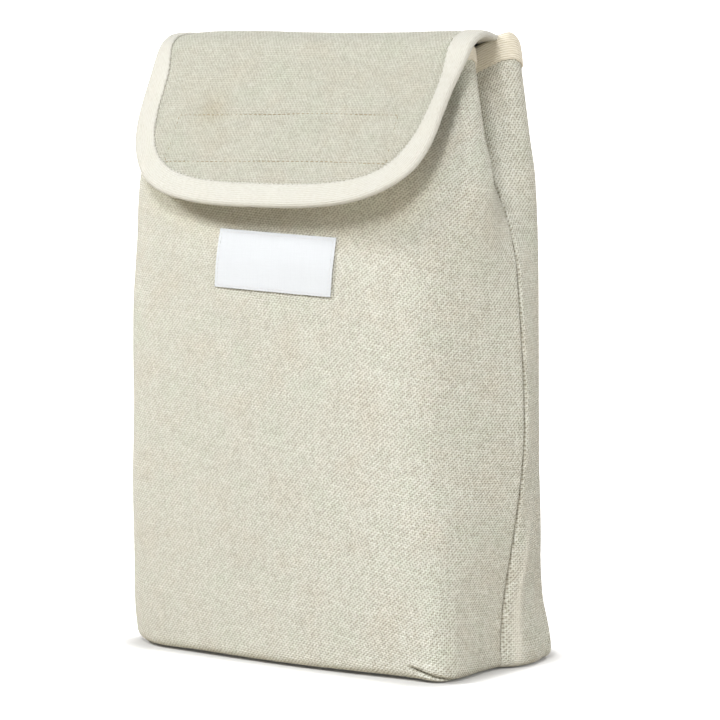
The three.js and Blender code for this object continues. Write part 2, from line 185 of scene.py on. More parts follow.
def waves(points, *sizes):
    return sum(height * wander(points, wavelength, seed) for wavelength, height, seed in sizes)


def unit(vectors):
    return vectors / np.maximum(np.linalg.norm(vectors, axis=-1, keepdims=True), 1e-9)


def run_along(line):
    """Length of a line up to each of its points."""
    return np.concatenate([[0], np.cumsum(np.linalg.norm(np.diff(line, axis=0), axis=1))])


def evenly(line, count):
    """The same line with points evenly spaced along it."""
    run = run_along(line)
    places = np.linspace(0, run[-1], count)
    return np.stack([np.interp(places, run, line[:, k]) for k in range(line.shape[1])], 1)


def cell(marks, place):
    """Index of the step between marks that a place lies in, and how far along it."""
    i = int(np.clip(np.searchsorted(marks, place) - 1, 0, len(marks) - 2))
    return i, (place - marks[i]) / (marks[i + 1] - marks[i])


def every(first, last, stride):
    """Every stride-th index, and the last one."""
    return sorted({*range(first, last, stride), last})


def section_slope(values, heights, i):
    if i == 0:
        return 0.0
    below = (values[i] - values[i - 1]) / (heights[i] - heights[i - 1])
    if i == len(values) - 1:
        return below
    above = (values[i + 1] - values[i]) / (heights[i + 1] - heights[i])
    return 0.0 if below * above <= 0 else 2 * below * above / (below + above)


def value(field, z):
    """A section's value at any height, smooth and without overshoot."""
    heights, values = SECTIONS[:, 0], SECTIONS[:, FIELDS.index(field)]
    i = int(np.clip(np.searchsorted(heights, z, "right") - 1, 0, len(heights) - 2))
    rise = heights[i + 1] - heights[i]
    t = float(np.clip((z - heights[i]) / rise, 0, 1))
    step = t * t * (3 - 2 * t)
    leave = t * (1 - t) ** 2 * rise * section_slope(values, heights, i)
    arrive = t * t * (t - 1) * rise * section_slope(values, heights, i + 1)
    return values[i] + (values[i + 1] - values[i]) * step + leave + arrive


def front_at(z):
    """Outer face of the front, with the bend to the shoulder drawn soft."""
    def sharp(h):
        if h < SHOULDER:
            return value("front_y", h)
        return FRONT_AT_SHOULDER + (h - SHOULDER) / math.tan(FLAP_SLOPE)
    if z < SHOULDER - 3 * SHOULDER_SOFTNESS:
        return sharp(z)
    weights = np.exp(-SOFT_STEPS ** 2)
    return sum(w * sharp(z + s * SHOULDER_SOFTNESS) for s, w in zip(SOFT_STEPS, weights)) / weights.sum()


def arc(centre, radius, start, end, steps):
    angles = np.linspace(start, end, steps + 1)
    return centre + radius * np.stack([np.cos(angles), np.sin(angles)], 1)


def half_outline(z, right):
    """One half of the bag's outline at a height, from the middle of the front to the middle of the back."""
    def v(field):
        return value(field, min(z, RIM))

    middle_y, back_r = front_at(z) - v("belly"), v("back_r")
    front_r = v("right_r" if right else "front_r")
    fold_x = v("right_x" if right else "front_x") - front_r
    swell = math.radians(v("swell")) if right else math.atan2(2 * v("belly"), fold_x)
    face_x = fold_x + front_r * math.sin(swell)
    bow = math.tan(swell) / (2 * face_x)
    front_fold = np.array([fold_x, middle_y + bow * face_x ** 2 + front_r * math.cos(swell)])
    back_fold = np.array([v("back_x") - back_r, v("back_y") - back_r])
    seam = np.array([v("seam_x"), v("seam_y")])

    def touch(centre, radius, side):
        to_seam = seam - centre
        return math.atan2(to_seam[1], to_seam[0]) + side * math.acos(radius / np.linalg.norm(to_seam))

    share = np.arange(FACE) / FACE
    share = EVEN_SHARE * share + CROWDED_SHARE * (1 - (1 - share) ** 2)
    face = np.stack([face_x * share, middle_y + bow * (face_x * share) ** 2], 1)
    front_arc = arc(front_fold, front_r, swell - math.pi / 2, touch(front_fold, front_r, -1), FOLD)
    back_arc = arc(back_fold, back_r, touch(back_fold, back_r, 1), math.pi / 2, BACK_FOLD)
    legs = [front_arc[-1] - seam, back_arc[0] - seam]
    lengths = [np.linalg.norm(leg) for leg in legs]
    reach = min(SEAM_ROUND, LEAF_SHARE * min(lengths))
    before, after = (seam + leg / length * reach for leg, length in zip(legs, lengths))
    t = np.linspace(-1, 1, BEND + 1)[:, None]
    t = 0.5 + 0.5 * np.sign(t) * np.abs(t) ** SEAM_CROWDING
    bend = (1 - t) ** 2 * before + 2 * t * (1 - t) * seam + t ** 2 * after
    k = np.arange(1, LEAF)[:, None] / LEAF
    front_leaf = front_arc[-1] + (before - front_arc[-1]) * k
    back_leaf = after + (back_arc[0] - after) * k
    share = np.arange(BACK - 1, -1, -1) / BACK
    back = np.stack([back_fold[0] * share, v("back_y") + v("belly") * (1 - share ** 2)], 1)
    return np.concatenate([face, front_arc, front_leaf, bend, back_leaf, back_arc, back])


def outline(z):
    """Whole outline, from the middle of the back round the left, the front and the right to it again."""
    return np.concatenate([half_outline(z, False)[:0:-1] * (-1, 1), half_outline(z, True)])


def level_row(flat, z):
    return np.column_stack([flat, np.full(len(flat), z)])


def across(grid):
    """Differences along the columns of a grid that closes on itself."""
    wide = np.concatenate([grid[:, -2:-1], grid, grid[:, 1:2]], 1)
    return (wide[:, 2:] - wide[:, :-2]) / 2


def normals(grid):
    return unit(np.cross(across(grid), np.gradient(grid, axis=0)))


def all_round(levels, passes):
    """Levels listed at columns of one half, taken all round the bag and smoothed."""
    half = np.interp(np.arange(HALF + 1), *levels)
    level = np.concatenate([half[:0:-1], half])
    for _ in range(passes):
        level[1:-1] = (level[:-2] + 2 * level[1:-1] + level[2:]) / 4
    return level


def wall_heights():
    heights = [BASE_EDGE]
    while heights[-1] < RIM:
        heights.append(heights[-1] + np.interp(heights[-1], *ROW_STEPS))
    heights = np.array(heights)
    return BASE_EDGE + (heights - BASE_EDGE) * (RIM - BASE_EDGE) / (heights[-1] - BASE_EDGE)


def crest(side, z):
    """Share of the height, and closeness to the top, of the fold that runs up behind each side seam."""
    from_seam = np.interp(z, *CREST_AT)
    climb, fall = side / from_seam, 1 - (side - from_seam) / CREST_FALL
    tent = -np.log(np.exp(-CREST_SHARPNESS * climb) + np.exp(-CREST_SHARPNESS * fall)) / CREST_SHARPNESS
    fade = 1 - smooth(z, *CREST_FADE)
    return np.maximum(tent, 0) * fade, hump(side - from_seam, np.interp(z, *CREST_WIDTH)) * fade


class Wall:
    """Outer face of the bag as a grid: rows from the bottom seam outwards and up, columns round the bag."""

    def __init__(self):
        heights = wall_heights()
        foot = outline(BASE_EDGE)
        run = unit(across(foot[None])[0])
        inwards = np.stack([-run[:, 1], run[:, 0]], 1)
        rows = []
        for angle in math.pi / 2 * np.arange(EDGE_ROWS) / EDGE_ROWS:
            flat = foot + inwards * BASE_EDGE * (1 - math.sin(angle))
            rows.append(level_row(flat, BASE_EDGE * (1 - math.cos(angle))))
        rows += [level_row(outline(z), z) for z in [*heights, *(RIM + up for up in ROWS_ABOVE_RIM)]]
        points = np.array(rows)
        points[..., 2] += self.lifts(points[:, 0, 2].copy())
        self.middle = points.shape[1] // 2
        steps = np.linalg.norm(np.diff(points, axis=1), axis=2)
        run = np.concatenate([np.zeros((len(points), 1)), np.cumsum(steps, 1)], 1)
        self.u = run - run[:, [self.middle]]
        self.rim_row = EDGE_ROWS + len(heights) - 1
        way = normals(points)
        sideways = unit(way[EDGE_ROWS] * (1, 1, 0))
        way = unit(sideways + (way - sideways) * smooth(points[..., 2], *RELIEF_TURNS)[..., None])
        points = points + way * self.relief(points)[..., None]
        normal = normals(points)
        near_floor = points[..., 2] < NEAR_FLOOR
        normal[..., 2] = np.where(near_floor, np.minimum(normal[..., 2], 0), normal[..., 2])
        self.points, self.normal = points, unit(normal)
        self.bottom()

    def lifts(self, z):
        """How far points stand above their level: pleats sag at the rim, the base rests on its corners."""
        rise = all_round(RIM_RISE, RISE_PASSES)
        lift = all_round(BASE_LIFT, LIFT_PASSES)
        lift += ridges(np.arange(-HALF, HALF + 1), LEFT_LIFT)
        return rise * smooth(z, RISE_FROM, RIM)[:, None] + lift * (1 - smooth(z, *LIFT_FADE))[:, None]

    def run_to(self, column):
        """Run from the middle of the front to a column, on the side that each point lies on."""
        left, right = -self.u[:, [self.middle - column]], self.u[:, [self.middle + column]]
        return np.where(self.u > 0, right, left)

    def relief(self, points):
        """How far the cloth stands out from the plain loft: soft waves, seams, folds at the base."""
        z, run, right = points[..., 2], np.abs(self.u), self.u > 0
        side = run - self.run_to(SEAM)
        front_fold = run - self.run_to(FACE + FOLD // 2)
        back_fold = run - self.run_to(BACK_EDGE - BACK_FOLD // 2)
        relief = between(z, *WAVES_SHOW) * waves(points, *WALL_WAVES)
        groove = np.interp(z, *SEAM_GROOVE) * hump(side, GROOVE_WIDTH)
        relief += between(z, *SEAM_SHOWS) * (ridges(np.abs(side), SEAM_LIP) - groove)
        relief += CREST_HEIGHT * crest(side, z)[0]
        relief += (1 - smooth(z, *FOOT_FADE)) * np.interp(side, *FOOT)
        relief += np.interp(z, *LEFT_BULGE) * hump(front_fold, BULGE_WIDTH) * ~right
        flare = (1 - smooth(z, *FLARE_FADE)) * np.where(right, 1, LEFT_FLARE)
        relief += flare * (ridges(front_fold, FRONT_FLARE) + ridges(back_fold, BACK_FLARE))
        over_slit = z - np.interp(run, *SLIT_LINE)
        relief += between(run, *SLIT_ENDS) * right * ridges(over_slit, *SLIT_RIDGES)
        return relief

    def bottom(self):
        """Adds the rows of the bottom, from its seam out to the lowest row of the edge."""
        ring, u = self.points[0], self.u[0]
        seam, whole = u[self.middle + SEAM], u[-1]
        is_front = np.abs(u) <= seam + 1e-6
        end_x, end_y = ring[self.middle + SEAM, :2]
        x = np.where(is_front, u / seam, np.sign(u) * (whole - np.abs(u)) / (whole - seam)) * abs(end_x)
        line = np.column_stack([x, np.full(len(x), end_y), np.zeros(len(x))])
        rows = [line + (ring - line) * k / BOTTOM_ROWS for k in range(BOTTOM_ROWS)]
        down = np.zeros_like(ring) - (0, 0, 1)
        self.points = np.concatenate([rows, self.points])
        self.normal = np.concatenate([[down] * BOTTOM_ROWS, self.normal])
        self.u = np.concatenate([[u] * BOTTOM_ROWS, self.u])
        self.v = run_along(self.points[:, self.middle])
        self.first = BOTTOM_ROWS + EDGE_ROWS
        self.rim_row += BOTTOM_ROWS
        self.heights = self.points[self.first:, self.middle, 2]

    def weave(self, back=False):
        """Thread coordinates: along the weft from the middle to the right, up the warp, and painted light,
        which is
        1 for painted shade in the side seams and -1 for a painted highlight on the folds behind them."""
        v = np.broadcast_to(self.v[:, None], self.u.shape)
        side = np.abs(self.u) - self.run_to(SEAM)
        z = self.points[..., 2]
        # painted shade along the seams, less a painted highlight on the crest folds behind them
        painted_seam_light = hump(side, SHADE_WIDTH) * np.interp(z, *SEAM_SHADE) - crest(side, z)[1]
        if back:
            u = np.sign(self.u) * (np.abs(self.u) - self.run_to(HALF)) + BACK_U
        else:
            run = np.arange(-GRAIN_REACH, GRAIN_REACH + 1)
            sag = np.cumsum(np.interp(run, *WEFT_SLOPE))
            u, v = self.u - WARP_LEAN * v, v + np.interp(self.u, run, sag - sag[GRAIN_REACH])
        return np.stack([u, v, painted_seam_light], -1)

    def at(self, u, z, depth):
        """Points and normals at places given by the run from the middle of the front and the height."""
        u, z, depth = np.broadcast_arrays(*(np.asarray(a, float) for a in (u, z, depth)))
        out, normal = np.zeros((2, *u.shape, 3))
        for place in np.ndindex(u.shape):
            r, f = cell(self.heights, z[place])
            r += self.first
            run = (1 - f) * self.u[r] + f * self.u[r + 1]
            c, g = cell(run, u[place])
            corner = [(1 - f) * (1 - g), (1 - f) * g, f * (1 - g), f * g]
            where = [(r, c), (r, c + 1), (r + 1, c), (r + 1, c + 1)]
            n = sum(w * self.normal[p] for w, p in zip(corner, where))
            normal[place] = n / np.linalg.norm(n)
            out[place] = sum(w * self.points[p] for w, p in zip(corner, where)) - normal[place] * depth[place]
        return out, normal


wall = Wall()

# Flap, as a path of its outer face from the rim of the back over the mouth to the lip. Runs along the path
# are s from the rim of the back and q from the fold.
HINGE_ROUND = 7.2
FOLD_ROUND = 14.0
TOP_RISE = math.radians(2.5)
BACK_LEAN = math.atan2(BACK_AT_SHOULDER - BACK_AT_RIM, RIM - SHOULDER)
FOLD_CORNER = np.array([-15.854, 275.231])
FLAP_HALF = 85.6
HINGE_HALF = 78.1
HINGE_NARROW = 1.8
NARROWS, WIDENS = (0, 5), (8, 38)
LIP = 84.4
CORNER_FROM = 22.9
CORNER_POWER = 3.1
FLAP_SPLIT_Y = 5.0
PATH_STEP, PATH_SPARE = 0.05, 8
EDGE_FROM, SIDE_STEP, EDGE_STEP = 4.2, 0.5, 0.52
EDGE_CORNER, GRID_CORNER = 160, 200
FIELD_HALF, FIELD_SPARE = 92, 4
INSIDE_S = 30

# How far the flap lies askew, how far its right side tucks in down its front, and where both set in
FLAP_ASKEW, ASKEW_FROM = -0.9, (2, 40)
RIGHT_TUCK, TUCK_FROM = (2.8, 38, 22), (35, 84)

# Relief of the flap, and where it sets in along x, q or s: lift of the right and left sides, of the lip and of
# the top, puff of the fold's ends, sag of the top at the left, swell of the padding inside the tape, and waves
FRONT_FROM = (-4, 30)
SIDE_LIFTS, SIDE_FROM, SIDE_POWER = (2.5, -1.25), (40, 84), 1.2
LIP_LIFT, LIP_FROM = 2.5, 62
TOP_LIFT, TOP_FROM = 1.25, (4, 24)
PUFF_ACROSS, PUFF_DOWN = (0.3, 78, 16), (1, 2, 16)
LEFT_SAG, SAG_FROM, SAG_START, SAG_END = 1.2, (55, 84), (3, 20), (-4, 14)
PADDING, PADDING_FROM, PADDING_START = 0.55, (10.1, 12.6), (5, 12)
WAVES_FROM = (8, 26)

# Rectangle of stitching that holds the closure: half its width, its upper and lower lines, the fade past its
# corners, how its lines bow up, and how deep and how unevenly it draws the cloth in
SEWN_HALF, SEWN_TOP, SEWN_LOW, SEWN_END = 61.5, 41, 64, 1.5
SEWN_BOW = (1.8, 25, 50)
SEWN_DEPTH, SEWN_WIDTH = 0.5, 1.0
SEWN_UNEVEN = (9, 0.5, 7)

# Rows of the flap's grid, and where its lower corners turn from side to lip
HINGE_ROWS, TOP_ROWS, FOLD_ROWS, DOWN_ROWS = 9, 14, 12, 44
STRAIGHT_TO, STRAIGHT_STEP = 17, 1.3
CORNER_SHARE = 0.8

# Share of depth lost where layers are sewn together, and distances from the edge over which it returns
EDGE_SQUEEZE = 0.45
SQUEEZE_FADE = (2, 15)


class Flap:
    """Outer face of the flap. Places on it are x and s."""

    def __init__(self):
        turn_start, turn_top = math.pi / 2 + BACK_LEAN, math.pi - TOP_RISE
        turn_front = math.pi + FLAP_SLOPE
        fold_cut = FOLD_ROUND * math.tan((turn_front - turn_top) / 2)
        start = np.array([BACK_AT_RIM, RIM])
        hinge_end = start + HINGE_ROUND * np.array([
            math.sin(turn_top) - math.sin(turn_start), math.cos(turn_start) - math.cos(turn_top)])
        top_end = FOLD_CORNER - fold_cut * np.array([math.cos(turn_top), math.sin(turn_top)])
        self.top_from = HINGE_ROUND * (turn_top - turn_start)
        self.top_to = self.top_from + float(np.linalg.norm(top_end - hinge_end))
        self.front_from = self.top_to + FOLD_ROUND * (turn_front - turn_top)
        self.s_of_fold = self.front_from - fold_cut
        self.lip = self.s_of_fold + LIP
        self.s = np.arange(0, self.lip + PATH_SPARE, PATH_STEP)
        marks = [0, self.top_from, self.top_to, self.front_from]
        self.turn = np.interp(self.s, marks, [turn_start, turn_top, turn_top, turn_front])
        steps = np.stack([np.cos(self.turn), np.sin(self.turn)], 1) * PATH_STEP
        self.path = start + np.concatenate([[[0, 0]], np.cumsum((steps[1:] + steps[:-1]) / 2, 0)])
        self.edge = self.edge_line()
        self.field = self.to_edge(np.dstack(np.meshgrid(
            np.arange(-FIELD_HALF, FIELD_HALF + 1), np.arange(0, self.lip + FIELD_SPARE))))

    def edge_line(self):
        """The edge from the back of the left side round the lip to the back of the right side, as x and s."""
        side_s = np.arange(EDGE_FROM, self.s_of_fold + CORNER_FROM, SIDE_STEP)
        side = np.stack([self.half(side_s), side_s], 1)
        right = np.concatenate([side, self.corner(np.linspace(0, 1, EDGE_CORNER))])
        line = np.concatenate([right[:-1] * (-1, 1), right[::-1]])
        length = np.linalg.norm(np.diff(line, axis=0), axis=1).sum()
        return evenly(line, int(length / EDGE_STEP))

    def to_edge(self, places):
        """Distance of each place of a grid from the edge."""
        return np.array([
            [np.linalg.norm(self.edge - place, axis=1).min() for place in row] for row in places])

    def inside(self, x, s):
        """Distance in from the edge, of places within it."""
        a = np.clip(np.asarray(x) + FIELD_HALF, 0, 2 * FIELD_HALF - 0.001)
        b = np.clip(s, 0, len(self.field) - 1.001)
        i, j = a.astype(int), b.astype(int)
        f, g = a - i, b - j
        near, far = (self.field[j + k, i] * (1 - f) + self.field[j + k, i + 1] * f for k in (0, 1))
        return near * (1 - g) + far * g

    def relief(self, x, s):
        """How far the cloth stands out from the plain path: lifted sides, drawn-in stitching, soft waves."""
        q = s - self.s_of_fold
        front = smooth(q, *FRONT_FROM)
        relief = front * (np.where(x > 0, *SIDE_LIFTS) * smooth(np.abs(x), *SIDE_FROM) ** SIDE_POWER)
        relief = relief + LIP_LIFT * smooth(q, LIP_FROM, LIP) * front + TOP_LIFT * smooth(s, *TOP_FROM)
        relief = relief + ridges(np.abs(x), PUFF_ACROSS) * ridges(q, PUFF_DOWN)
        relief = relief - LEFT_SAG * smooth(-x, *SAG_FROM) * (1 - smooth(q, *SAG_END)) * smooth(s, *SAG_START)
        padded = smooth(self.inside(x, s), *PADDING_FROM) * smooth(s, *PADDING_START)
        points = np.stack([x, s * 1.0, np.zeros_like(x)], -1)
        relief = relief + PADDING * padded + smooth(s, *WAVES_FROM) * waves(points, *FLAP_WAVES)
        q = q + ridges(x, SEWN_BOW)
        from_lines = np.minimum(np.abs(q - SEWN_TOP), np.abs(q - SEWN_LOW))
        across_line = hump(from_lines, SEWN_WIDTH) * (1 - smooth(np.abs(x), SEWN_HALF, SEWN_HALF + SEWN_END))
        down_line = hump(np.abs(x) - SEWN_HALF, SEWN_WIDTH) * between(
            q, SEWN_TOP - SEWN_END, SEWN_TOP, SEWN_LOW, SEWN_LOW + SEWN_END)
        uneven = 1 + waves(points, SEWN_UNEVEN)
        return relief - SEWN_DEPTH * np.maximum(across_line, down_line) * uneven

    def outer(self, x, s):
        x, s = np.broadcast_arrays(np.asarray(x, float), np.asarray(s, float))
        turn = np.interp(s, self.s, self.turn)
        lift = self.relief(x, s)
        y = np.interp(s, self.s, self.path[:, 0]) + lift * np.sin(turn)
        z = np.interp(s, self.s, self.path[:, 1]) - lift * np.cos(turn)
        tuck = ridges(s - self.s_of_fold, RIGHT_TUCK) * smooth(x, *TUCK_FROM)
        return np.stack([x + FLAP_ASKEW * smooth(s, *ASKEW_FROM) - tuck, y, z], -1)

    def at(self, x, s, depth):
        """Points and normals at places, that deep below the outer face."""
        x, s, depth = np.broadcast_arrays(*(np.asarray(a, float) for a in (x, s, depth)))
        e = 0.4
        along = self.outer(x, s + e) - self.outer(x, s - e)
        aside = self.outer(x + e, s) - self.outer(x - e, s)
        normal = unit(np.cross(along, aside))
        return self.outer(x, s) - normal * depth[..., None], normal

    def half(self, s):
        """Half of the cloth's width above the rounded corners."""
        narrow = HINGE_HALF - HINGE_NARROW * smooth(s, *NARROWS)
        return narrow + (FLAP_HALF - HINGE_HALF + HINGE_NARROW) * smooth(s, *WIDENS)

    def corner(self, share):
        """A rounded lower corner, as x and s, from the side at share 0 to the middle of the lip at share 1."""
        angle = np.asarray(share, float) * math.pi / 2
        x = FLAP_HALF * np.cos(angle) ** (2 / CORNER_POWER)
        q = CORNER_FROM + (LIP - CORNER_FROM) * np.sin(angle) ** (2 / CORNER_POWER)
        return np.stack([x, q + self.s_of_fold], -1)


flap = Flap()


def flap_grid():
    """Places (x, s) of the flap's grid: straight rows, then a patch inside the rounded outline."""
    share = np.linspace(1, -1, 2 * BACK + 1)
    straight = np.concatenate([
        np.linspace(0, flap.top_from, HINGE_ROWS)[:-1],
        np.linspace(flap.top_from, flap.top_to, TOP_ROWS)[:-1],
        np.linspace(flap.top_to, flap.front_from, FOLD_ROWS)[:-1],
        np.arange(flap.front_from, flap.s_of_fold + STRAIGHT_TO, STRAIGHT_STEP),
    ])
    rows = [level_row((share * flap.half(s))[:, None], s) for s in straight]
    top = rows.pop()
    quarter = flap.corner(np.linspace(0, 1, GRID_CORNER))
    mark = int(np.argmin(np.abs(quarter[:, 0] / FLAP_HALF - CORNER_SHARE)))
    side = evenly(np.concatenate([[top[0]], quarter[:mark + 1]]), DOWN_ROWS + 1)
    lip_half = quarter[mark:]
    lip = evenly(np.concatenate([lip_half, lip_half[-2::-1] * (-1, 1)]), len(share))
    f = ((1 - share) / 2)[:, None]
    for k in range(DOWN_ROWS + 1):
        g = k / DOWN_ROWS
        right, left = side[k], side[k] * (-1, 1)
        edges = (1 - g) * top + g * lip + (1 - f) * right + f * left
        corners = (1 - g) * ((1 - f) * top[0] + f * top[-1]) + g * ((1 - f) * lip[0] + f * lip[-1])
        rows.append(edges - corners)
    return np.array(rows)


def grid_faces(rows, columns):
    a = (np.arange(rows - 1)[:, None] * columns + np.arange(columns - 1)).ravel()
    return np.stack([a, a + 1, a + 1 + columns, a + columns], 1)


def closed(faces, count):
    """Faces of a closed shell: those given, the same count points on, turned over, and a strip between."""
    edges = {(f[k - 1], f[k]) for f in faces for k in range(len(f))}
    other = [[v + count for v in reversed(f)] for f in faces]
    return [*faces, *other, *([b, a, a + count, b + count] for a, b in edges if (b, a) not in edges)]


def place_in_scene(name, data):
    thing = bpy.data.objects.new(name, data)
    scene.collection.objects.link(thing)
    return thing


def mesh_piece(name, points, faces, weave, sharp=50):
    """A new object from points in millimetres; weave holds the thread coordinates that its material reads."""
    if weave.shape[1] == 2:
        weave = np.column_stack([weave, np.zeros(len(weave))])
    mesh = bpy.data.meshes.new(name)
    mesh.from_pydata((np.asarray(points) * MM).tolist(), [], [list(map(int, f)) for f in faces])
    attribute = mesh.attributes.new("weave", "FLOAT_VECTOR", "POINT")
    attribute.data.foreach_set("vector", weave.astype(np.float32).ravel())
    mesh.validate()
    mesh.shade_smooth()
    mesh.set_sharp_from_angle(angle=math.radians(sharp))
    return place_in_scene(name, mesh)


class Cloth:
    """One open surface of cloth: points of its outer face, normals, thread coordinates and faces."""

    def __init__(self, grids):
        faces, start = [], 0
        for points, _, _ in grids:
            rows, columns = points.shape[:2]
            faces.append(grid_faces(rows, columns) + start)
            start += rows * columns
        points, normal, weave = (np.concatenate([g.reshape(-1, 3) for g in kind]) for kind in zip(*grids))
        _, first, index = np.unique(np.round(points, 4), axis=0, return_index=True, return_inverse=True)
        self.points, self.normal, self.weave = points[first], normal[first], weave[first]
        self.faces = []
        for face in index.ravel()[np.concatenate(faces)]:
            kept = [v for k, v in enumerate(face) if v != face[k - 1]]
            if len(set(kept)) > 2:
                self.faces.append(kept)

    def shell(self, name, layer):
        """Closed mesh of the cloth between two depths."""
        points = np.concatenate([self.points - self.normal * depth for depth in layer])
        faces = closed(self.faces, len(self.points))
        return mesh_piece(name, points, faces, np.concatenate([self.weave, self.weave]))


def columns(first, last):
    """Indices of the wall's columns, counted from the middle of the front, towards the right."""
    return np.arange(first, last + 1) + wall.middle


front_columns = columns(-SEAM, SEAM)
back_columns = np.concatenate([columns(SEAM, HALF), columns(-HALF + 1, -SEAM)])
back_face = np.concatenate([columns(BACK_EDGE, HALF), columns(-HALF + 1, -BACK_EDGE)])


def thinness(inside):
    """Share of the layers' depth left, by the distance in from a bound edge."""
    return 1 - EDGE_SQUEEZE * (1 - smooth(inside, *SQUEEZE_FADE))


def wall_thinness():
    """Share of depth left at the rim, along the front and the pleats but not along the back."""
    count = np.abs(np.arange(-HALF, HALF + 1))
    bound = 1 - smooth(count, BACK_EDGE - BACK_FOLD, BACK_EDGE)
    below = RIM - wall.points[:, wall.middle, 2]
    return 1 - (1 - thinness(np.maximum(below, 0)))[:, None] * bound


def wall_part(which, back, stride):
    pick = np.ix_(every(0, wall.rim_row, stride), which[every(0, len(which) - 1, stride)])
    return wall.points[pick], (wall.normal * wall_thinness()[..., None])[pick], wall.weave(back)[pick]


places = flap_grid()
flap_points, flap_normals = flap.at(places[..., 0], places[..., 1], 0)
flap_points[0] = wall.points[wall.rim_row, back_face]
flap_normals[0] = wall.normal[wall.rim_row, back_face]
flap_normals *= thinness(flap.to_edge(places))[..., None]
RIM_V = wall.v[wall.rim_row]
flap_weave = np.dstack([BACK_U - places[..., 0], places[..., 1] + RIM_V, np.zeros(places.shape[:2])])
split = int(np.argmin(np.abs(flap_points[:, BACK, 1] - FLAP_SPLIT_Y)))


def flap_part(first, last, stride):
    pick = np.ix_(every(first, last, stride), every(0, 2 * BACK, stride))
    return flap_points[pick], flap_normals[pick], flap_weave[pick]


def cloths(stride):
    return {
        "front": Cloth([wall_part(front_columns, False, stride)]),
        "back": Cloth([wall_part(back_columns, True, stride), flap_part(0, split, stride)]),
        "flap": Cloth([flap_part(split, len(places) - 1, stride)]),
    }


def goes(piece, part):
    if part == "front":
        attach(piece, "bag")
    elif part == "back":
        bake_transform(piece)
    else:
        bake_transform(piece)


INPUTS = {
    "sheen": "Sheen Weight", "sheen_roughness": "Sheen Roughness",
    "specular": "Specular IOR Level", "metallic": "Metallic",
}


class Graph:
    """The nodes of a material or of the world, put together value by value."""

    def __init__(self, owner):
        self.owner = owner
        owner.use_nodes = True
        self.tree = owner.node_tree
        self.shader = next(n for n in self.tree.nodes if n.type in ("BSDF_PRINCIPLED", "BACKGROUND"))

    def node(self, kind, **settings):
        node = self.tree.nodes.new("ShaderNode" + kind)
        for key, setting in settings.items():
            setattr(node, key, setting)
        return node

    def put(self, socket, given):
        if isinstance(given, bpy.types.NodeSocket):
            self.tree.links.new(given, socket)
        else:
            socket.default_value = given

    def fill(self, node, **given):
        for key, one in given.items():
            self.put(node.inputs[key.replace("_", " ")], one)
        return node.outputs[0]

    def math(self, operation, *given):
        node = self.node("Math", operation=operation)
        for socket, one in zip(node.inputs, given):
            self.put(socket, one)
        return node.outputs[0]

    def fold(self, operation, first, *others):
        for one in others:
            first = self.math(operation, first, one)
        return first

    def add(self, *terms):
        """Sum of values, each alone or with a factor."""
        return self.fold("ADD", *(self.times(*t) if isinstance(t, tuple) else t for t in terms))

    def minus(self, a, b):
        return self.math("SUBTRACT", a, b)

    def times(self, a, b):
        return self.math("MULTIPLY", a, b)

    def scaled(self, a, by, plus):
        return self.math("MULTIPLY_ADD", a, by, plus)

    def greatest(self, *given):
        return self.fold("MAXIMUM", *given)

    def wave(self, along, pitch):
        return self.math("COSINE", self.times(along, 2 * math.pi / pitch))

    def threads(self):
        """The thread coordinates u and v, in millimetres, and both as one place."""
        parts = self.node("SeparateXYZ")
        self.put(parts.inputs[0], self.node("Attribute", attribute_name="weave").outputs["Vector"])
        # the third value carries the painted seam shade and the painted crest highlight
        u, v, self.painted_seam_light = parts.outputs
        return u, v, self.vector(u, v)

    def vector(self, x, y, z=0.0):
        return self.fill(self.node("CombineXYZ"), X=x, Y=y, Z=z)

    def noise(self, vector, scale, detail=2.0, roughness=0.5):
        return self.fill(
            self.node("TexNoise"), Vector=vector, Scale=scale, Detail=detail, Roughness=roughness)

    def ranged(self, given, start, end, low=0.0, high=1.0, kind="SMOOTHSTEP"):
        return self.fill(
            self.node("MapRange", interpolation_type=kind),
            Value=given, From_Min=start, From_Max=end, To_Min=low, To_Max=high)

    def mix(self, factor, a, b, blend="MIX"):
        node = self.node("Mix", data_type="RGBA", blend_type=blend)
        for socket, one in zip((node.inputs[0], node.inputs[6], node.inputs[7]), (factor, a, b)):
            self.put(socket, one)
        return node.outputs[2]

    def ramp(self, factor, *stops):
        node = self.node("ValToRGB")
        self.put(node.inputs[0], factor)
        elements = node.color_ramp.elements
        while len(elements) < len(stops):
            elements.new(0.5)
        for element, (place, *colour) in zip(elements, stops):
            element.position = place
            element.color = srgb(*colour)
        return node.outputs[0]

    def bump(self, height, distance):
        return self.fill(self.node("Bump"), Strength=1.0, Distance=distance, Height=height)

    def seen(self):
        """1 for rays that show a thing to the camera, 0 for those that light it."""
        path = self.node("LightPath").outputs
        return self.greatest(path["Is Camera Ray"], path["Is Glossy Ray"], path["Is Transmission Ray"])

    def finish(self, colour, roughness, normal, **constants):
        self.put(self.shader.inputs["Base Color"], colour)
        self.put(self.shader.inputs["Roughness"], roughness)
        self.put(self.shader.inputs["Normal"], normal)
        for key, constant in constants.items():
            self.shader.inputs[INPUTS[key]].default_value = constant
        return self.owner


def material_graph(name):
    return Graph(bpy.data.materials.new(name))


def srgb(red, green, blue):
    """Linear colour of an 8-bit screen colour."""
    def linear(c):
        c /= 255
        return c / 12.92 if c <= 0.04045 else ((c + 0.055) / 1.055) ** 2.4
    return (linear(red), linear(green), linear(blue), 1.0)


# Pitch of threads across and up, and how far they drift
LINEN_WEAVE = (0.82, 0.98, 2.0)
LABEL_WEAVE = (0.24, 0.20, 0.3)

# Pitches of the tape's ribs and picks, the lining's grid, the rows of loops, the hooks and the thread's plies
TAPE_RIB, TAPE_PICK = 0.95, 0.42
LINING_GRID = 2.4
LOOP_ROWS = 1.5
HOOK_PITCH = (3.0, 2.2)
PLY = 0.55

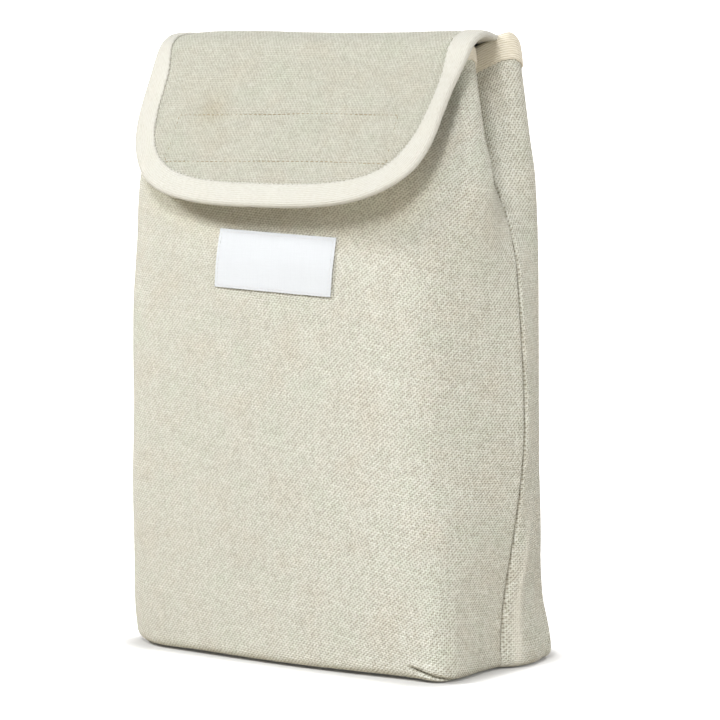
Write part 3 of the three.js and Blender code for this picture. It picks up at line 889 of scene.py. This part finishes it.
# Run over which the flap's linen takes a calmer weave and a darker painted shade, so that the flap, which
# faces up, shows no brighter than the front; runs of the front over which the weave's painted relief shading
# grows clearer
FLAP_LOOK_RUN = 45
PAINTED_RELIEF_RUN, PAINTED_RELIEF_SHARE = (-75.0, 95.0), (0.64, 1.14)

# A faint tan mark on the flap above the closure's stitching, in thread coordinates
STAIN = (BACK_U + 42.5, flap.s_of_fold + 38.5 + RIM_V)
STAIN_SIZE = 8.0

Weave = namedtuple("Weave", "height thread knot falling rising place u v")


def weave_nodes(g, pitch_u, pitch_v, slack):
    """Plain weave: height of the cloth's face, how threads and knots vary, and the diagonals of the knots."""
    u, v, place = g.threads()
    drift_u = g.minus(g.noise(g.vector(u, g.times(v, 0.35)), 0.09), 0.5)
    drift_v = g.minus(g.noise(g.vector(g.times(u, 0.35), v, 40.0), 0.09), 0.5)
    cu = g.scaled(u, 1 / pitch_u, g.times(drift_u, slack))
    cv = g.scaled(v, 1 / pitch_v, g.times(drift_v, slack))
    iu, iv = g.math("FLOOR", cu), g.math("FLOOR", cv)
    hump_u, hump_v = (
        g.math("COSINE", g.times(g.minus(g.minus(c, i), 0.5), math.pi)) for c, i in ((cu, iu), (cv, iv)))
    odd = g.math("FLOORED_MODULO", g.add(iu, iv), 2.0)
    sign = g.scaled(odd, 2.0, -1.0)
    warp = g.times(g.math("POWER", hump_u, 0.6), g.scaled(g.times(sign, hump_v), 0.5, 0.5))
    weft = g.times(g.math("POWER", hump_v, 0.6), g.scaled(g.times(sign, hump_u), -0.5, 0.5))
    on_weft = g.math("GREATER_THAN", weft, warp)
    on_warp = g.minus(1.0, on_weft)
    slub_warp = g.noise(g.vector(g.times(iu, 5.7), g.times(v, 0.11)), 1.0, 3.0, 0.6)
    slub_weft = g.noise(g.vector(g.times(u, 0.11), g.times(iv, 5.7), 90.0), 1.0, 3.0, 0.6)
    thread = g.add((slub_warp, on_warp), (slub_weft, on_weft))
    knot = g.node("TexWhiteNoise", noise_dimensions="1D")
    g.put(knot.inputs["W"], g.scaled(iv, 57.31, iu))
    rising = g.math("COSINE", g.times(g.minus(cu, cv), math.pi))
    falling = g.math("COSINE", g.times(g.add(cu, cv), math.pi))
    return Weave(g.greatest(warp, weft), thread, knot.outputs["Value"], falling, rising, place, u, v)


def linen_material():
    g = material_graph("linen")
    w = weave_nodes(g, *LINEN_WEAVE)
    on_flap = g.ranged(w.v, RIM_V, RIM_V + FLAP_LOOK_RUN)
    checks = g.add((w.rising, g.scaled(on_flap, -0.05, 0.07)), (w.falling, g.scaled(on_flap, 0.02, 0.03)))
    level = g.add(checks, (w.height, 0.2), (w.thread, 0.22), (w.knot, 0.12), -0.29)
    # Painted shade: the weave's light and dark grow stronger towards the right of the front, standing in for
    # the relief that grazing light brings out there
    weave_contrast = g.ranged(w.u, *PAINTED_RELIEF_RUN, *PAINTED_RELIEF_SHARE, "LINEAR")
    weave_contrast = g.times(weave_contrast, g.scaled(on_flap, -0.34, 1.0))
    colour = g.ramp(
        g.scaled(level, weave_contrast, 0.51),
        (0.26, 140, 134, 117), (0.46, 202, 200, 189),
        (0.62, 231, 231, 224), (0.82, 250, 250, 248))
    tint = g.ramp(
        g.noise(w.place, 0.045, 3.0, 0.6),
        (0.3, 248, 246, 240), (0.5, 250, 252, 249), (0.72, 244, 251, 244))
    colour = g.mix(0.7, colour, tint, "MULTIPLY")
    # Painted shade: the flap's linen is drawn darker so that, facing up, it shows no brighter than the front
    colour = g.mix(g.times(on_flap, 0.85), colour, srgb(227, 226, 223), "MULTIPLY")
    # Painted shade: a warm tint on the front under the flap's lip, which browns the shadow there
    painted_lip_shade = g.node("Attribute", attribute_name="painted_lip_shade").outputs["Fac"]
    colour = g.mix(painted_lip_shade, colour, srgb(255, 251, 243), "MULTIPLY")
    stain = [g.minus(one, middle) for one, middle in zip((w.u, w.v), STAIN)]
    stain = g.math("EXPONENT", g.times(g.add(*((one, one) for one in stain)), -1 / STAIN_SIZE ** 2))
    colour = g.mix(g.times(stain, 0.35), colour, srgb(230, 212, 186), "MULTIPLY")
    # Painted shade: the side seams are drawn dark brown, for their thread and for the shade in their groove;
    # painted highlight: the folds behind them are drawn pale
    colour = g.mix(g.times(g.painted_seam_light, 0.8), colour, srgb(112, 102, 80))
    colour = g.mix(g.times(g.painted_seam_light, -0.65), colour, srgb(236, 234, 224))
    fluff = g.noise(w.place, 2.6, 3.0, 0.7)
    surface = g.add(w.height, (fluff, 0.2), (w.knot, 0.2))
    return g.finish(colour, 0.92, g.bump(surface, 0.0004), sheen=0.1, sheen_roughness=0.5, specular=0.2)


def tape_material(name, rib_share, dark, middle, light):
    g = material_graph(name)
    u, v, place = g.threads()
    rib, pick = g.wave(v, TAPE_RIB), g.wave(u, TAPE_PICK)
    uneven = g.noise(g.vector(g.times(u, 0.2), v), 2.2, 3.0, 0.6)
    height = g.add((rib, 0.9), (pick, 0.16), uneven)
    level = g.add((rib, rib_share), (uneven, 0.6), 0.2)
    colour = g.ramp(level, (0.2, *dark), (0.5, *middle), (0.85, *light))
    colour = g.mix(g.times(g.noise(place, 0.08), 0.35), colour, srgb(246, 241, 226), "MULTIPLY")
    return g.finish(colour, 0.85, g.bump(height, 0.00006), sheen=0.15, sheen_roughness=0.5, specular=0.25)


def label_material():
    g = material_graph("label")
    w = weave_nodes(g, *LABEL_WEAVE)
    colour = g.ramp(
        g.add((w.height, 0.5), (w.thread, 0.5)),
        (0.1, 194, 198, 205), (0.6, 212, 217, 223), (1.0, 222, 227, 233))
    normal = g.bump(g.add(w.height, (g.noise(w.place, 0.9), 0.8)), 0.00004)
    return g.finish(colour, 0.6, normal, sheen=0.1, specular=0.35)


def lining_material():
    g = material_graph("lining")
    u, v, place = g.threads()
    crinkle = g.noise(place, 0.22, 5.0, 0.62)
    fine_grain = g.noise(place, 2.5)
    grid = g.greatest(g.wave(u, LINING_GRID), g.wave(v, LINING_GRID))
    colour = g.ramp(
        g.add((crinkle, 0.8), (grid, 0.08)),
        (0.25, 150, 154, 158), (0.5, 180, 183, 186), (0.75, 204, 206, 208))
    normal = g.bump(g.add((crinkle, 6.0), (grid, 0.18), (fine_grain, 0.2)), 0.0002)
    return g.finish(colour, g.scaled(crinkle, 0.3, 0.34), normal, metallic=0.18, specular=0.3)


def wadding_material():
    g = material_graph("wadding")
    _, _, place = g.threads()
    fibre = g.noise(place, 1.3, 6.0, 0.75)
    clump = g.noise(place, 0.16, 3.0, 0.5)
    colour = g.ramp(
        g.add((fibre, 0.6), (clump, 0.4)),
        (0.25, 222, 219, 208), (0.6, 241, 239, 232), (0.9, 250, 249, 245))
    return g.finish(colour, 0.98, g.bump(fibre, 0.0006), sheen=0.3, specular=0.1)


def loop_material():
    g = material_graph("loop_tape")
    _, v, place = g.threads()
    fuzz = g.noise(place, 1.7, 6.0, 0.75)
    rows = g.wave(g.add(v, (fuzz, 0.8)), LOOP_ROWS)
    colour = g.ramp(
        g.add((fuzz, 0.8), (rows, 0.07)),
        (0.2, 206, 198, 178), (0.5, 233, 227, 211), (0.8, 246, 242, 231))
    normal = g.bump(g.add(fuzz, (rows, 0.15)), 0.0009)
    return g.finish(colour, 0.97, normal, sheen=0.45, specular=0.15)


def hook_material():
    g = material_graph("hook_tape")
    u, v, place = g.threads()
    hooks = g.times(*(
        g.math("POWER", g.math("ABSOLUTE", g.wave(one, pitch)), 3.0)
        for one, pitch in zip((u, v), HOOK_PITCH)))
    uneven = g.noise(place, 1.2, 3.0, 0.6)
    colour = g.ramp(
        g.add((hooks, 0.5), (uneven, 0.5)),
        (0.15, 196, 187, 163), (0.45, 226, 219, 200), (0.85, 246, 241, 228))
    return g.finish(colour, 0.55, g.bump(g.add(hooks, (uneven, 0.2)), 0.0007), specular=0.4)


def thread_material(name, dark, light):
    g = material_graph(name)
    u, v, place = g.threads()
    ply = g.wave(g.add(u, (v, 0.35)), PLY)
    colour = g.mix(g.add((ply, 0.2), g.noise(place, 1.1, 2.0, 0.6)), dark, light)
    return g.finish(colour, 0.75, g.bump(ply, 0.00005), sheen=0.1)


LOOKS = {
    "linen": linen_material(),
    "wadding": wadding_material(),
    "lining": lining_material(),
    "binding_tape": tape_material(
        "binding_tape", 0.07, (182, 178, 165), (204, 204, 198), (216, 217, 214)),
    # The rim's tape is the flap's tape, drawn brighter and warmer as painted light where it lies in the
    # pleats' shade
    "rim_tape_painted_light": tape_material(
        "rim_tape_painted_light", 0.18, (188, 178, 156), (226, 221, 207), (234, 230, 219)),
    "loop_tape": loop_material(),
    "hook_tape": hook_material(),
    "label": label_material(),
    "thread": thread_material("thread", srgb(122, 110, 84), srgb(172, 158, 128)),
    "white_thread": thread_material("white_thread", srgb(196, 198, 202), srgb(226, 228, 231)),
}


def dress(piece, look, slot, *nodes):
    piece.data.materials.append(LOOKS[look])
    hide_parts(*nodes)
    return piece


# Walls and flap: the solids that each cloth stands for
PARTS = ("front", "back", "flap")
NODES = {
    "linen": ("outer_front_panel", "outer_back_panel", "flap_top_linen flap_front_linen"),
    "wadding": ("insulation_front", "insulation_back", "flap_top_insulation flap_front_insulation"),
    "lining": ("lining_front", "lining_back", "flap_top_lining flap_front_lining"),
}

# How far below the lip, and between which places at the right, the painted shade under the flap's lip fades
LIP_SHADE_BELOW = 24
LIP_SHADE_RIGHT = (60, 86)


def paint_lip_shade(piece):
    """Marks how far each point of the front lies under the flap's lip, where a warm tint is painted in as
    shade.
    """
    points = np.zeros(3 * len(piece.data.vertices))
    piece.data.vertices.foreach_get("co", points)
    x, _, z = points.reshape(-1, 3).T / MM
    share = np.clip(np.abs(x) / FLAP_HALF, 0, 1)
    drop = CORNER_FROM + (LIP - CORNER_FROM) * (1 - share ** CORNER_POWER) ** (1 / CORNER_POWER)
    lip_z = FOLD_CORNER[1] - drop * math.sin(FLAP_SLOPE)
    painted_lip_shade = smooth(z, lip_z - LIP_SHADE_BELOW, lip_z) * (1 - smooth(x, *LIP_SHADE_RIGHT))
    attribute = piece.data.attributes.new("painted_lip_shade", "FLOAT", "POINT")
    attribute.data.foreach_set("value", painted_lip_shade.astype(np.float32))


fine, coarse = cloths(1), cloths(2)
for slot, layer, cloth in (("linen", LINEN, fine), ("wadding", WADDING, coarse), ("lining", LINING, coarse)):
    for part, nodes in zip(PARTS, NODES[slot]):
        piece = cloth[part].shell(f"{slot}_{part}_cloth", layer)
        dress(piece, slot, slot, *nodes.split())
        goes(piece, part)
        if (slot, part) == ("linen", "front"):
            # paints a warm shade under the flap's lip
            paint_lip_shade(piece)

# Tape folded over the edge of a cloth: how far in from the edge, and the depth
TAPE_RING = np.array([
    (10.5, -0.06), (10.48, -0.56), (10.1, -0.84), (9.0, -0.92), (7.0, -1.0), (4.5, -1.02), (2.4, -0.96),
    (0.9, -0.82), (-0.1, -0.45), (-0.75, 0.35), (-1.0, 1.65), (-0.75, 3.0), (-0.1, 3.9), (0.9, 4.3),
    (2.4, 4.36), (4.5, 4.36), (7.0, 4.3), (9.0, 4.24), (10.1, 4.16), (10.48, 3.98), (10.5, 3.6), (7.0, 3.6),
    (3.0, 3.6), (0.5, 3.56), (-0.28, 3.0), (-0.4, 1.65), (-0.28, 0.3), (0.5, -0.26), (3.0, -0.3), (7.0, -0.22),
])
RING_RUN = run_along(TAPE_RING)

# Stitches of the tape: their pitch, the seam's distance in from the edge, and how far each draws the faces
# together and the tape's edge back
STITCH = 2.6
TAPE_SEAM = (9.1, 1.6)
TAPE_EDGE = (10.5, 0.6)
DRAWN_IN, DRAWN_BACK = 0.2, 0.7
OUTER_FACE, INNER_FACE = -0.5, 3.9

# Share of the flap tape's width that is turned out of sight at the left of the fold and down the right side,
# and of the rim tape's width at the right front corner
LEFT_TURN, LEFT_TURN_WIDTH = 0.42, 13
RIGHT_TURN, RIGHT_TURN_SPAN = 0.36, (5, 27, 30, 70)
RIM_TURN, RIM_TURN_WIDTH = 0.36, 9


def tape_ring(run, turned):
    """The tape's cross-sections at runs along it, drawn in at stitches and narrowed where it turns away."""
    ring = np.repeat(TAPE_RING[None], len(run), 0)
    inwards, depth = TAPE_RING.T
    outside = (depth < OUTER_FACE) - (depth > INNER_FACE) * 1.0
    pull = 0.5 + 0.5 * np.cos(2 * math.pi * run / STITCH)
    ring[..., 1] += DRAWN_IN * pull[:, None] * (hump(inwards - TAPE_SEAM[0], TAPE_SEAM[1]) * outside)
    ring[..., 0] -= DRAWN_BACK * pull[:, None] * hump(inwards - TAPE_EDGE[0], TAPE_EDGE[1])
    ring[..., 0] *= np.where(ring[..., 0] > 0, (1 - turned)[:, None], 1)
    return ring


def squeezed(ring):
    """Depths of the tape's cross-sections over the squeezed layers."""
    return ring[..., 1] * np.where(ring[..., 1] > 0, thinness(ring[..., 0]), 1)


def swept_tape(name, sections, run, order=1):
    """Closed mesh of the tape's cross-sections along it, each taken round in an order of 1 or -1."""
    sections, ring_run = sections[:, ::order], RING_RUN[::order]
    count, around = sections.shape[:2]
    rings = np.arange(count * around).reshape(count, around)
    faces = [
        [a[i - 1], a[i], b[i], b[i - 1]] for a, b in zip(rings, rings[1:]) for i in (*range(1, around), 0)]
    faces += [rings[0, ::-1], rings[-1]]
    weave = np.stack(np.broadcast_arrays(run[:, None], ring_run[None]), -1)
    return mesh_piece(name, sections.reshape(-1, 3), faces, weave.reshape(-1, 2))


edge = flap.edge
edge_run = run_along(edge)
forward = unit(np.gradient(edge, axis=0))
inward = np.stack([forward[:, 1], -forward[:, 0]], 1)
inward *= np.sign(np.sum(inward * ((0, INSIDE_S) - edge), 1, keepdims=True))
first_front = int(np.argmax(edge[:, 1] > places[split, BACK, 1]))
last_front = len(edge) - 1 - first_front


def flap_tape(name, which):
    run, place = edge_run[which], edge[which]
    q = place[:, 1] - flap.s_of_fold
    turned = np.where(
        place[:, 0] < 0, LEFT_TURN * hump(q, LEFT_TURN_WIDTH), RIGHT_TURN * between(q, *RIGHT_TURN_SPAN))
    ring = tape_ring(run, turned)
    spot = place[:, None, :] + inward[which][:, None, :] * ring[..., :1]
    points, _ = flap.at(spot[..., 0], spot[..., 1], squeezed(ring))
    return swept_tape(name, points, run, -1)


tape_pieces = {
    "tape_flap_left": (np.arange(0, first_front + 1), "back", "flap_top_binding_left"),
    "tape_flap_right": (np.arange(last_front, len(edge)), "back", "flap_top_binding_right"),
    "tape_flap_front": (np.arange(first_front, last_front + 1), "flap", "flap_front_binding"),
}
for name, (which, part, node) in tape_pieces.items():
    piece = dress(flap_tape(name, which), "binding_tape", "binding_tape", node)
    goes(piece, part)

# Tape over the rim of the mouth, along the front and both pleats
rim_columns = columns(-BACK_EDGE, BACK_EDGE)
rim_u = wall.u[wall.rim_row, rim_columns]


def under_rim(down, depth):
    """Points of the wall at the rim's columns, that far below the rim and that deep."""
    out = np.zeros(down.shape + (3,))
    for c, column in enumerate(rim_columns):
        z = RIM - down[c]
        point, normal = (
            np.stack([np.interp(z, wall.heights, grid[wall.first:, column, k]) for k in range(3)], 1)
            for grid in (wall.points, wall.normal))
        out[c] = point - unit(normal) * depth[c][:, None]
    return out


right_fold = wall.u[wall.rim_row, wall.middle + FACE + FOLD // 2]
ring = tape_ring(rim_u, RIM_TURN * hump(rim_u - right_fold, RIM_TURN_WIDTH))
piece = swept_tape("tape_rim", under_rim(ring[..., 0], squeezed(ring)), rim_u)
# the rim's tape takes the brighter, warmer copy painted as light
dress(piece, "rim_tape_painted_light", "binding_tape", "rim_binding")
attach(piece, "bag")


def lay(name, slot, at, a, b, depths, soft_edge, body):
    """A flat piece laid on a surface: a grid of places, between two depths, thinner along its edge."""
    rows, cols = a.shape
    top = np.full(a.shape, depths[0])
    middle = (depths[0] + depths[1]) / 2
    rim = middle + (depths[0] - middle) * soft_edge
    top[[0, -1], :] = rim
    top[:, [0, -1]] = rim
    faces = closed(grid_faces(rows, cols), rows * cols)
    points = [at(a, b, depth)[0].reshape(-1, 3) for depth in (top, np.full(a.shape, depths[1]))]
    weave = np.stack([a.ravel(), b.ravel()], 1)
    piece = mesh_piece(name, np.concatenate(points), faces, np.concatenate([weave, weave]))
    dress(piece, slot, slot, slot)
    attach(piece, body)


# A stitch along its length: the place, and the thickness and the rise as shares of the thread's radius
STITCH_SHAPE = (
    (-1, 0.0, -0.9), (-0.9, 0.55, -0.45), (-0.6, 0.92, 0.1), (-0.2, 1, 0.4),
    (0.2, 1, 0.4), (0.6, 0.92, 0.1), (0.9, 0.55, -0.45), (1, 0.0, -0.9))
STITCH_SIDES = 6


def stitches(name, middle, along, normal, half, radius):
    """Sewing stitches: short rounded lengths of thread that dip into the cloth at both ends."""
    sides, rings = STITCH_SIDES, len(STITCH_SHAPE) - 3
    points, weave, faces = [], [], []
    for m, a, b, n in zip(middle, along, unit(np.cross(normal, along)), normal):
        start = len(points)
        for place, thick, rise in STITCH_SHAPE:
            centre = m + a * half * place + n * radius * rise
            for i in range(sides if thick else 1):
                angle = 2 * math.pi * i / sides
                points.append(centre + radius * thick * (b * math.cos(angle) + n * math.sin(angle)))
                weave.append((half * place + start, radius * angle))
        first = start + 1
        last = first + rings * sides
        for i in range(sides):
            j = (i + 1) % sides
            faces.append([start, first + j, first + i])
            for r in range(first, last, sides):
                faces.append([r + i, r + j, r + sides + j, r + sides + i])
            faces.append([last + i, last + j, last + sides])
    return mesh_piece(name, points, faces, np.array(weave))


def sew(name, at, half, low, high, pitch, depths, size):
    """Stitches round a rectangle on a surface, laid at one depth across it and at another up and down it."""
    corners = np.array([(-half, low), (half, low), (half, high), (-half, high)], float)
    spots, ways = [], []
    for a, b in zip(corners, np.roll(corners, -1, 0)):
        length = np.linalg.norm(b - a)
        count = max(1, round(length / pitch))
        spots += [a + (b - a) * (k + 0.5) / count for k in range(count)]
        ways += [(b - a) / length] * count
    spots, ways = np.array(spots), np.array(ways)
    depth = np.where(np.abs(ways[:, 0]) > 0.5, *depths)
    middle, normal = at(*spots.T, depth)
    tip, _ = at(*(spots + ways).T, depth)
    return stitches(name, middle, unit(tip - middle), normal, *size)


# Closure: loops on the front of the bag, hooks under the flap
CLOSURE = (125.0, 25.0)
CLOSURE_GRID = (90, 18)
LOOP_MIDDLE, LOOP_HALF = 226.5, 11
HOOK_MIDDLE, HOOK_HALF = 52.5, 12.5
LOOP_DEPTHS, HOOK_DEPTHS, CLOSURE_EDGE = (-1.5, -0.3), (4.8, 3.6), 0.3
CLOSURE_SUNK, CLOSURE_STITCH = (-0.02, 0.12), (1.12, 0.21)
wide = np.linspace(-CLOSURE[0] / 2, CLOSURE[0] / 2, CLOSURE_GRID[0])
a, b = np.meshgrid(wide, LOOP_MIDDLE + np.linspace(-LOOP_HALF, LOOP_HALF, CLOSURE_GRID[1]))
lay(
    "loop_tape_face", "loop_tape", wall.at, a, b, LOOP_DEPTHS, CLOSURE_EDGE, "bag")
a, b = np.meshgrid(wide, flap.s_of_fold + HOOK_MIDDLE + np.linspace(-HOOK_HALF, HOOK_HALF, CLOSURE_GRID[1]))
lay(
    "hook_tape_face", "hook_tape", flap.at, a, b, HOOK_DEPTHS, CLOSURE_EDGE, "flap_front")


def on_closure(x, q, depth):
    return flap.at(x, q + flap.s_of_fold - ridges(x, SEWN_BOW), depth)


piece = sew(
    "stitching_closure", on_closure, SEWN_HALF, SEWN_TOP, SEWN_LOW, STITCH, CLOSURE_SUNK, CLOSURE_STITCH)
dress(piece, "thread", "thread", "closure_stitching")
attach(piece, "flap_front")

# Label: its size, its place as run and height on the front, its tilt and lean, and how it stands off the linen
LABEL = (62.5, 25.6)
LABEL_GRID = (66, 28)
LABEL_MIDDLE = (-0.6, 176.6)
LABEL_TILT = math.radians(-1.8)
LABEL_LEAN = 0.05
LABEL_LIFT, LABEL_WAVE = 0.25, (14, 0.25, 9)
LABEL_DEPTHS, LABEL_EDGE = (-0.8, -0.35), 0.4
LABEL_STITCH = (0.75, 0.14)
LABEL_SEAM, LABEL_PITCH = 1.3, 2.0


def label_place(x, y):
    c, s = math.cos(LABEL_TILT), math.sin(LABEL_TILT)
    x = x + LABEL_LEAN * y
    return LABEL_MIDDLE[0] + c * x - s * y, LABEL_MIDDLE[1] + s * x + c * y


def label_at(u, z, depth):
    lift = LABEL_LIFT + waves(np.stack([u, z, np.zeros_like(u)], -1), LABEL_WAVE)
    return wall.at(u, z, depth - lift)


def on_label(x, y, depth):
    return label_at(*label_place(x, y), depth)


half_w, half_h = LABEL[0] / 2, LABEL[1] / 2
a, b = label_place(*np.meshgrid(
    np.linspace(-half_w, half_w, LABEL_GRID[0]), np.linspace(-half_h, half_h, LABEL_GRID[1])))
lay("label_face", "label", label_at, a, b, LABEL_DEPTHS, LABEL_EDGE, "bag")
half_w, half_h = half_w - LABEL_SEAM, half_h - LABEL_SEAM
piece = sew(
    "stitching_label", on_label, half_w, -half_h, half_h, LABEL_PITCH, LABEL_DEPTHS[:1] * 2, LABEL_STITCH)
dress(piece, "white_thread", "thread", "label_stitching")
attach(piece, "bag")

# Floor, light and camera, in metres
scene.view_settings.view_transform = "Standard"
AZIMUTH = math.radians(36.5)
FLOOR_Z = -0.0006
FLOOR_FROM, FLOOR_TO, FLOOR_SIDE = -2.0, 1.2, 3.0
WALL_ROUND, WALL_TOP = 0.8, 3.0
WALL_TURN = np.linspace(0.1, math.pi / 2, 12)
FLOOR_LIGHT, FLOOR_SEEN = (0.62, 0.575, 0.50, 1), (0.62, 0.62, 0.62, 1)
WHITE = (1, 1, 1, 1)

# Half the width and depth of the floor round which the shadow is kept, and distances over which it fades
SHADOW_HALF = (0.070, 0.030)
SHADOW_FADE = (0.016, 0.038)
SHADOW_WHITE = (0.04, 1.0)


def floor_material():
    """Pale floor that fades to plain white away from the bag, so that only the shadow close to it is kept."""
    g = material_graph("floor")
    to_camera = g.node("LightPath").outputs["Is Camera Ray"]
    g.put(g.shader.inputs["Base Color"], g.mix(to_camera, FLOOR_LIGHT, FLOOR_SEEN))
    g.put(g.shader.inputs["Roughness"], 0.9)
    place = g.node("SeparateXYZ")
    g.put(place.inputs[0], g.node("NewGeometry").outputs["Position"])
    beyond = [
        g.greatest(g.minus(g.math("ABSOLUTE", one), half), 0.0)
        for one, half in zip(place.outputs, SHADOW_HALF)]
    away = g.math("SQRT", g.add(*((one, one) for one in beyond)))
    glow = g.node("Emission")
    g.put(glow.inputs["Strength"], g.times(g.seen(), g.ranged(away, *SHADOW_FADE, *SHADOW_WHITE)))
    both = g.node("AddShader")
    g.put(both.inputs[0], g.shader.outputs[0])
    g.put(both.inputs[1], glow.outputs[0])
    output = next(n for n in g.tree.nodes if n.type == "OUTPUT_MATERIAL")
    g.put(output.inputs["Surface"], both.outputs[0])
    return g.owner


def backdrop():
    """A floor that runs on behind the bag and curves up into a wall."""
    curve = [
        (FLOOR_TO + WALL_ROUND * math.sin(t), WALL_ROUND - WALL_ROUND * math.cos(t) + FLOOR_Z)
        for t in WALL_TURN]
    line = [(FLOOR_FROM, FLOOR_Z), (FLOOR_TO, FLOOR_Z), *curve, (FLOOR_TO + WALL_ROUND, WALL_TOP)]
    c, s = math.cos(AZIMUTH), math.sin(AZIMUTH)
    points = [
        (side * c - away * s, side * s + away * c, up)
        for side in (-FLOOR_SIDE, FLOOR_SIDE) for away, up in line]
    n = len(line)
    mesh = bpy.data.meshes.new("backdrop")
    mesh.from_pydata(points, [], [[k, k + n, k + n + 1, k + 1] for k in range(n - 1)])
    mesh.shade_smooth()
    mesh.materials.append(floor_material())
    place_in_scene("backdrop", mesh)


backdrop()

# Light that comes from all round, seen as white
AMBIENT = (0.090, 0.073, 0.046, 1)
scene.world = bpy.data.worlds.new("studio")
sky = Graph(scene.world)
sky.put(sky.shader.inputs["Color"], sky.mix(sky.seen(), AMBIENT, WHITE))


def stand(name, data, place, way):
    """Puts a lamp or a camera at a place, turned along a direction."""
    thing = place_in_scene(name, data)
    thing.location = place
    thing.rotation_mode = "QUATERNION"
    thing.rotation_quaternion = way.to_track_quat("-Z", "Y")
    return thing


# Lamps: azimuth and elevation in degrees, size in metres and watts
LAMPS = {
    "left": (-45, 36, 0.45, 23.2), "right": (24, 35, 0.45, 16),
    "side": (84, 20, 0.45, 11), "rear": (178, 32, 0.6, 12),
}
LAMP_AIM = Vector((0, 0, 0.14))
LAMP_DISTANCE = 1.7
for name, (azimuth, elevation, size, watts) in LAMPS.items():
    a, e = math.radians(azimuth), math.radians(elevation)
    away = Vector((math.sin(a) * math.cos(e), -math.cos(a) * math.cos(e), math.sin(e)))
    light = bpy.data.lights.new(name, "AREA")
    light.shape = "DISK"
    light.size = size
    light.energy = watts
    stand(name, light, LAMP_AIM + away * LAMP_DISTANCE, -away)

# Camera of the photograph: its shift to the right, its distance, its height and the height that it looks at
CAMERA_RIGHT, CAMERA_AWAY, CAMERA_HEIGHT, AIM_HEIGHT = 0.0092, 1.505, 0.2764, 0.1304
SENSOR_WIDTH, LENS = 36, 169.04
aside = Vector((math.cos(AZIMUTH), math.sin(AZIMUTH), 0)) * CAMERA_RIGHT
eye = aside + Vector((math.sin(AZIMUTH), -math.cos(AZIMUTH), 0)) * CAMERA_AWAY + Vector((0, 0, CAMERA_HEIGHT))
aim = aside + Vector((0, 0, AIM_HEIGHT))
camera = bpy.data.cameras.new("camera")
camera.sensor_width = SENSOR_WIDTH
camera.lens = LENS
scene.camera = stand("camera", camera, eye, aim - eye)
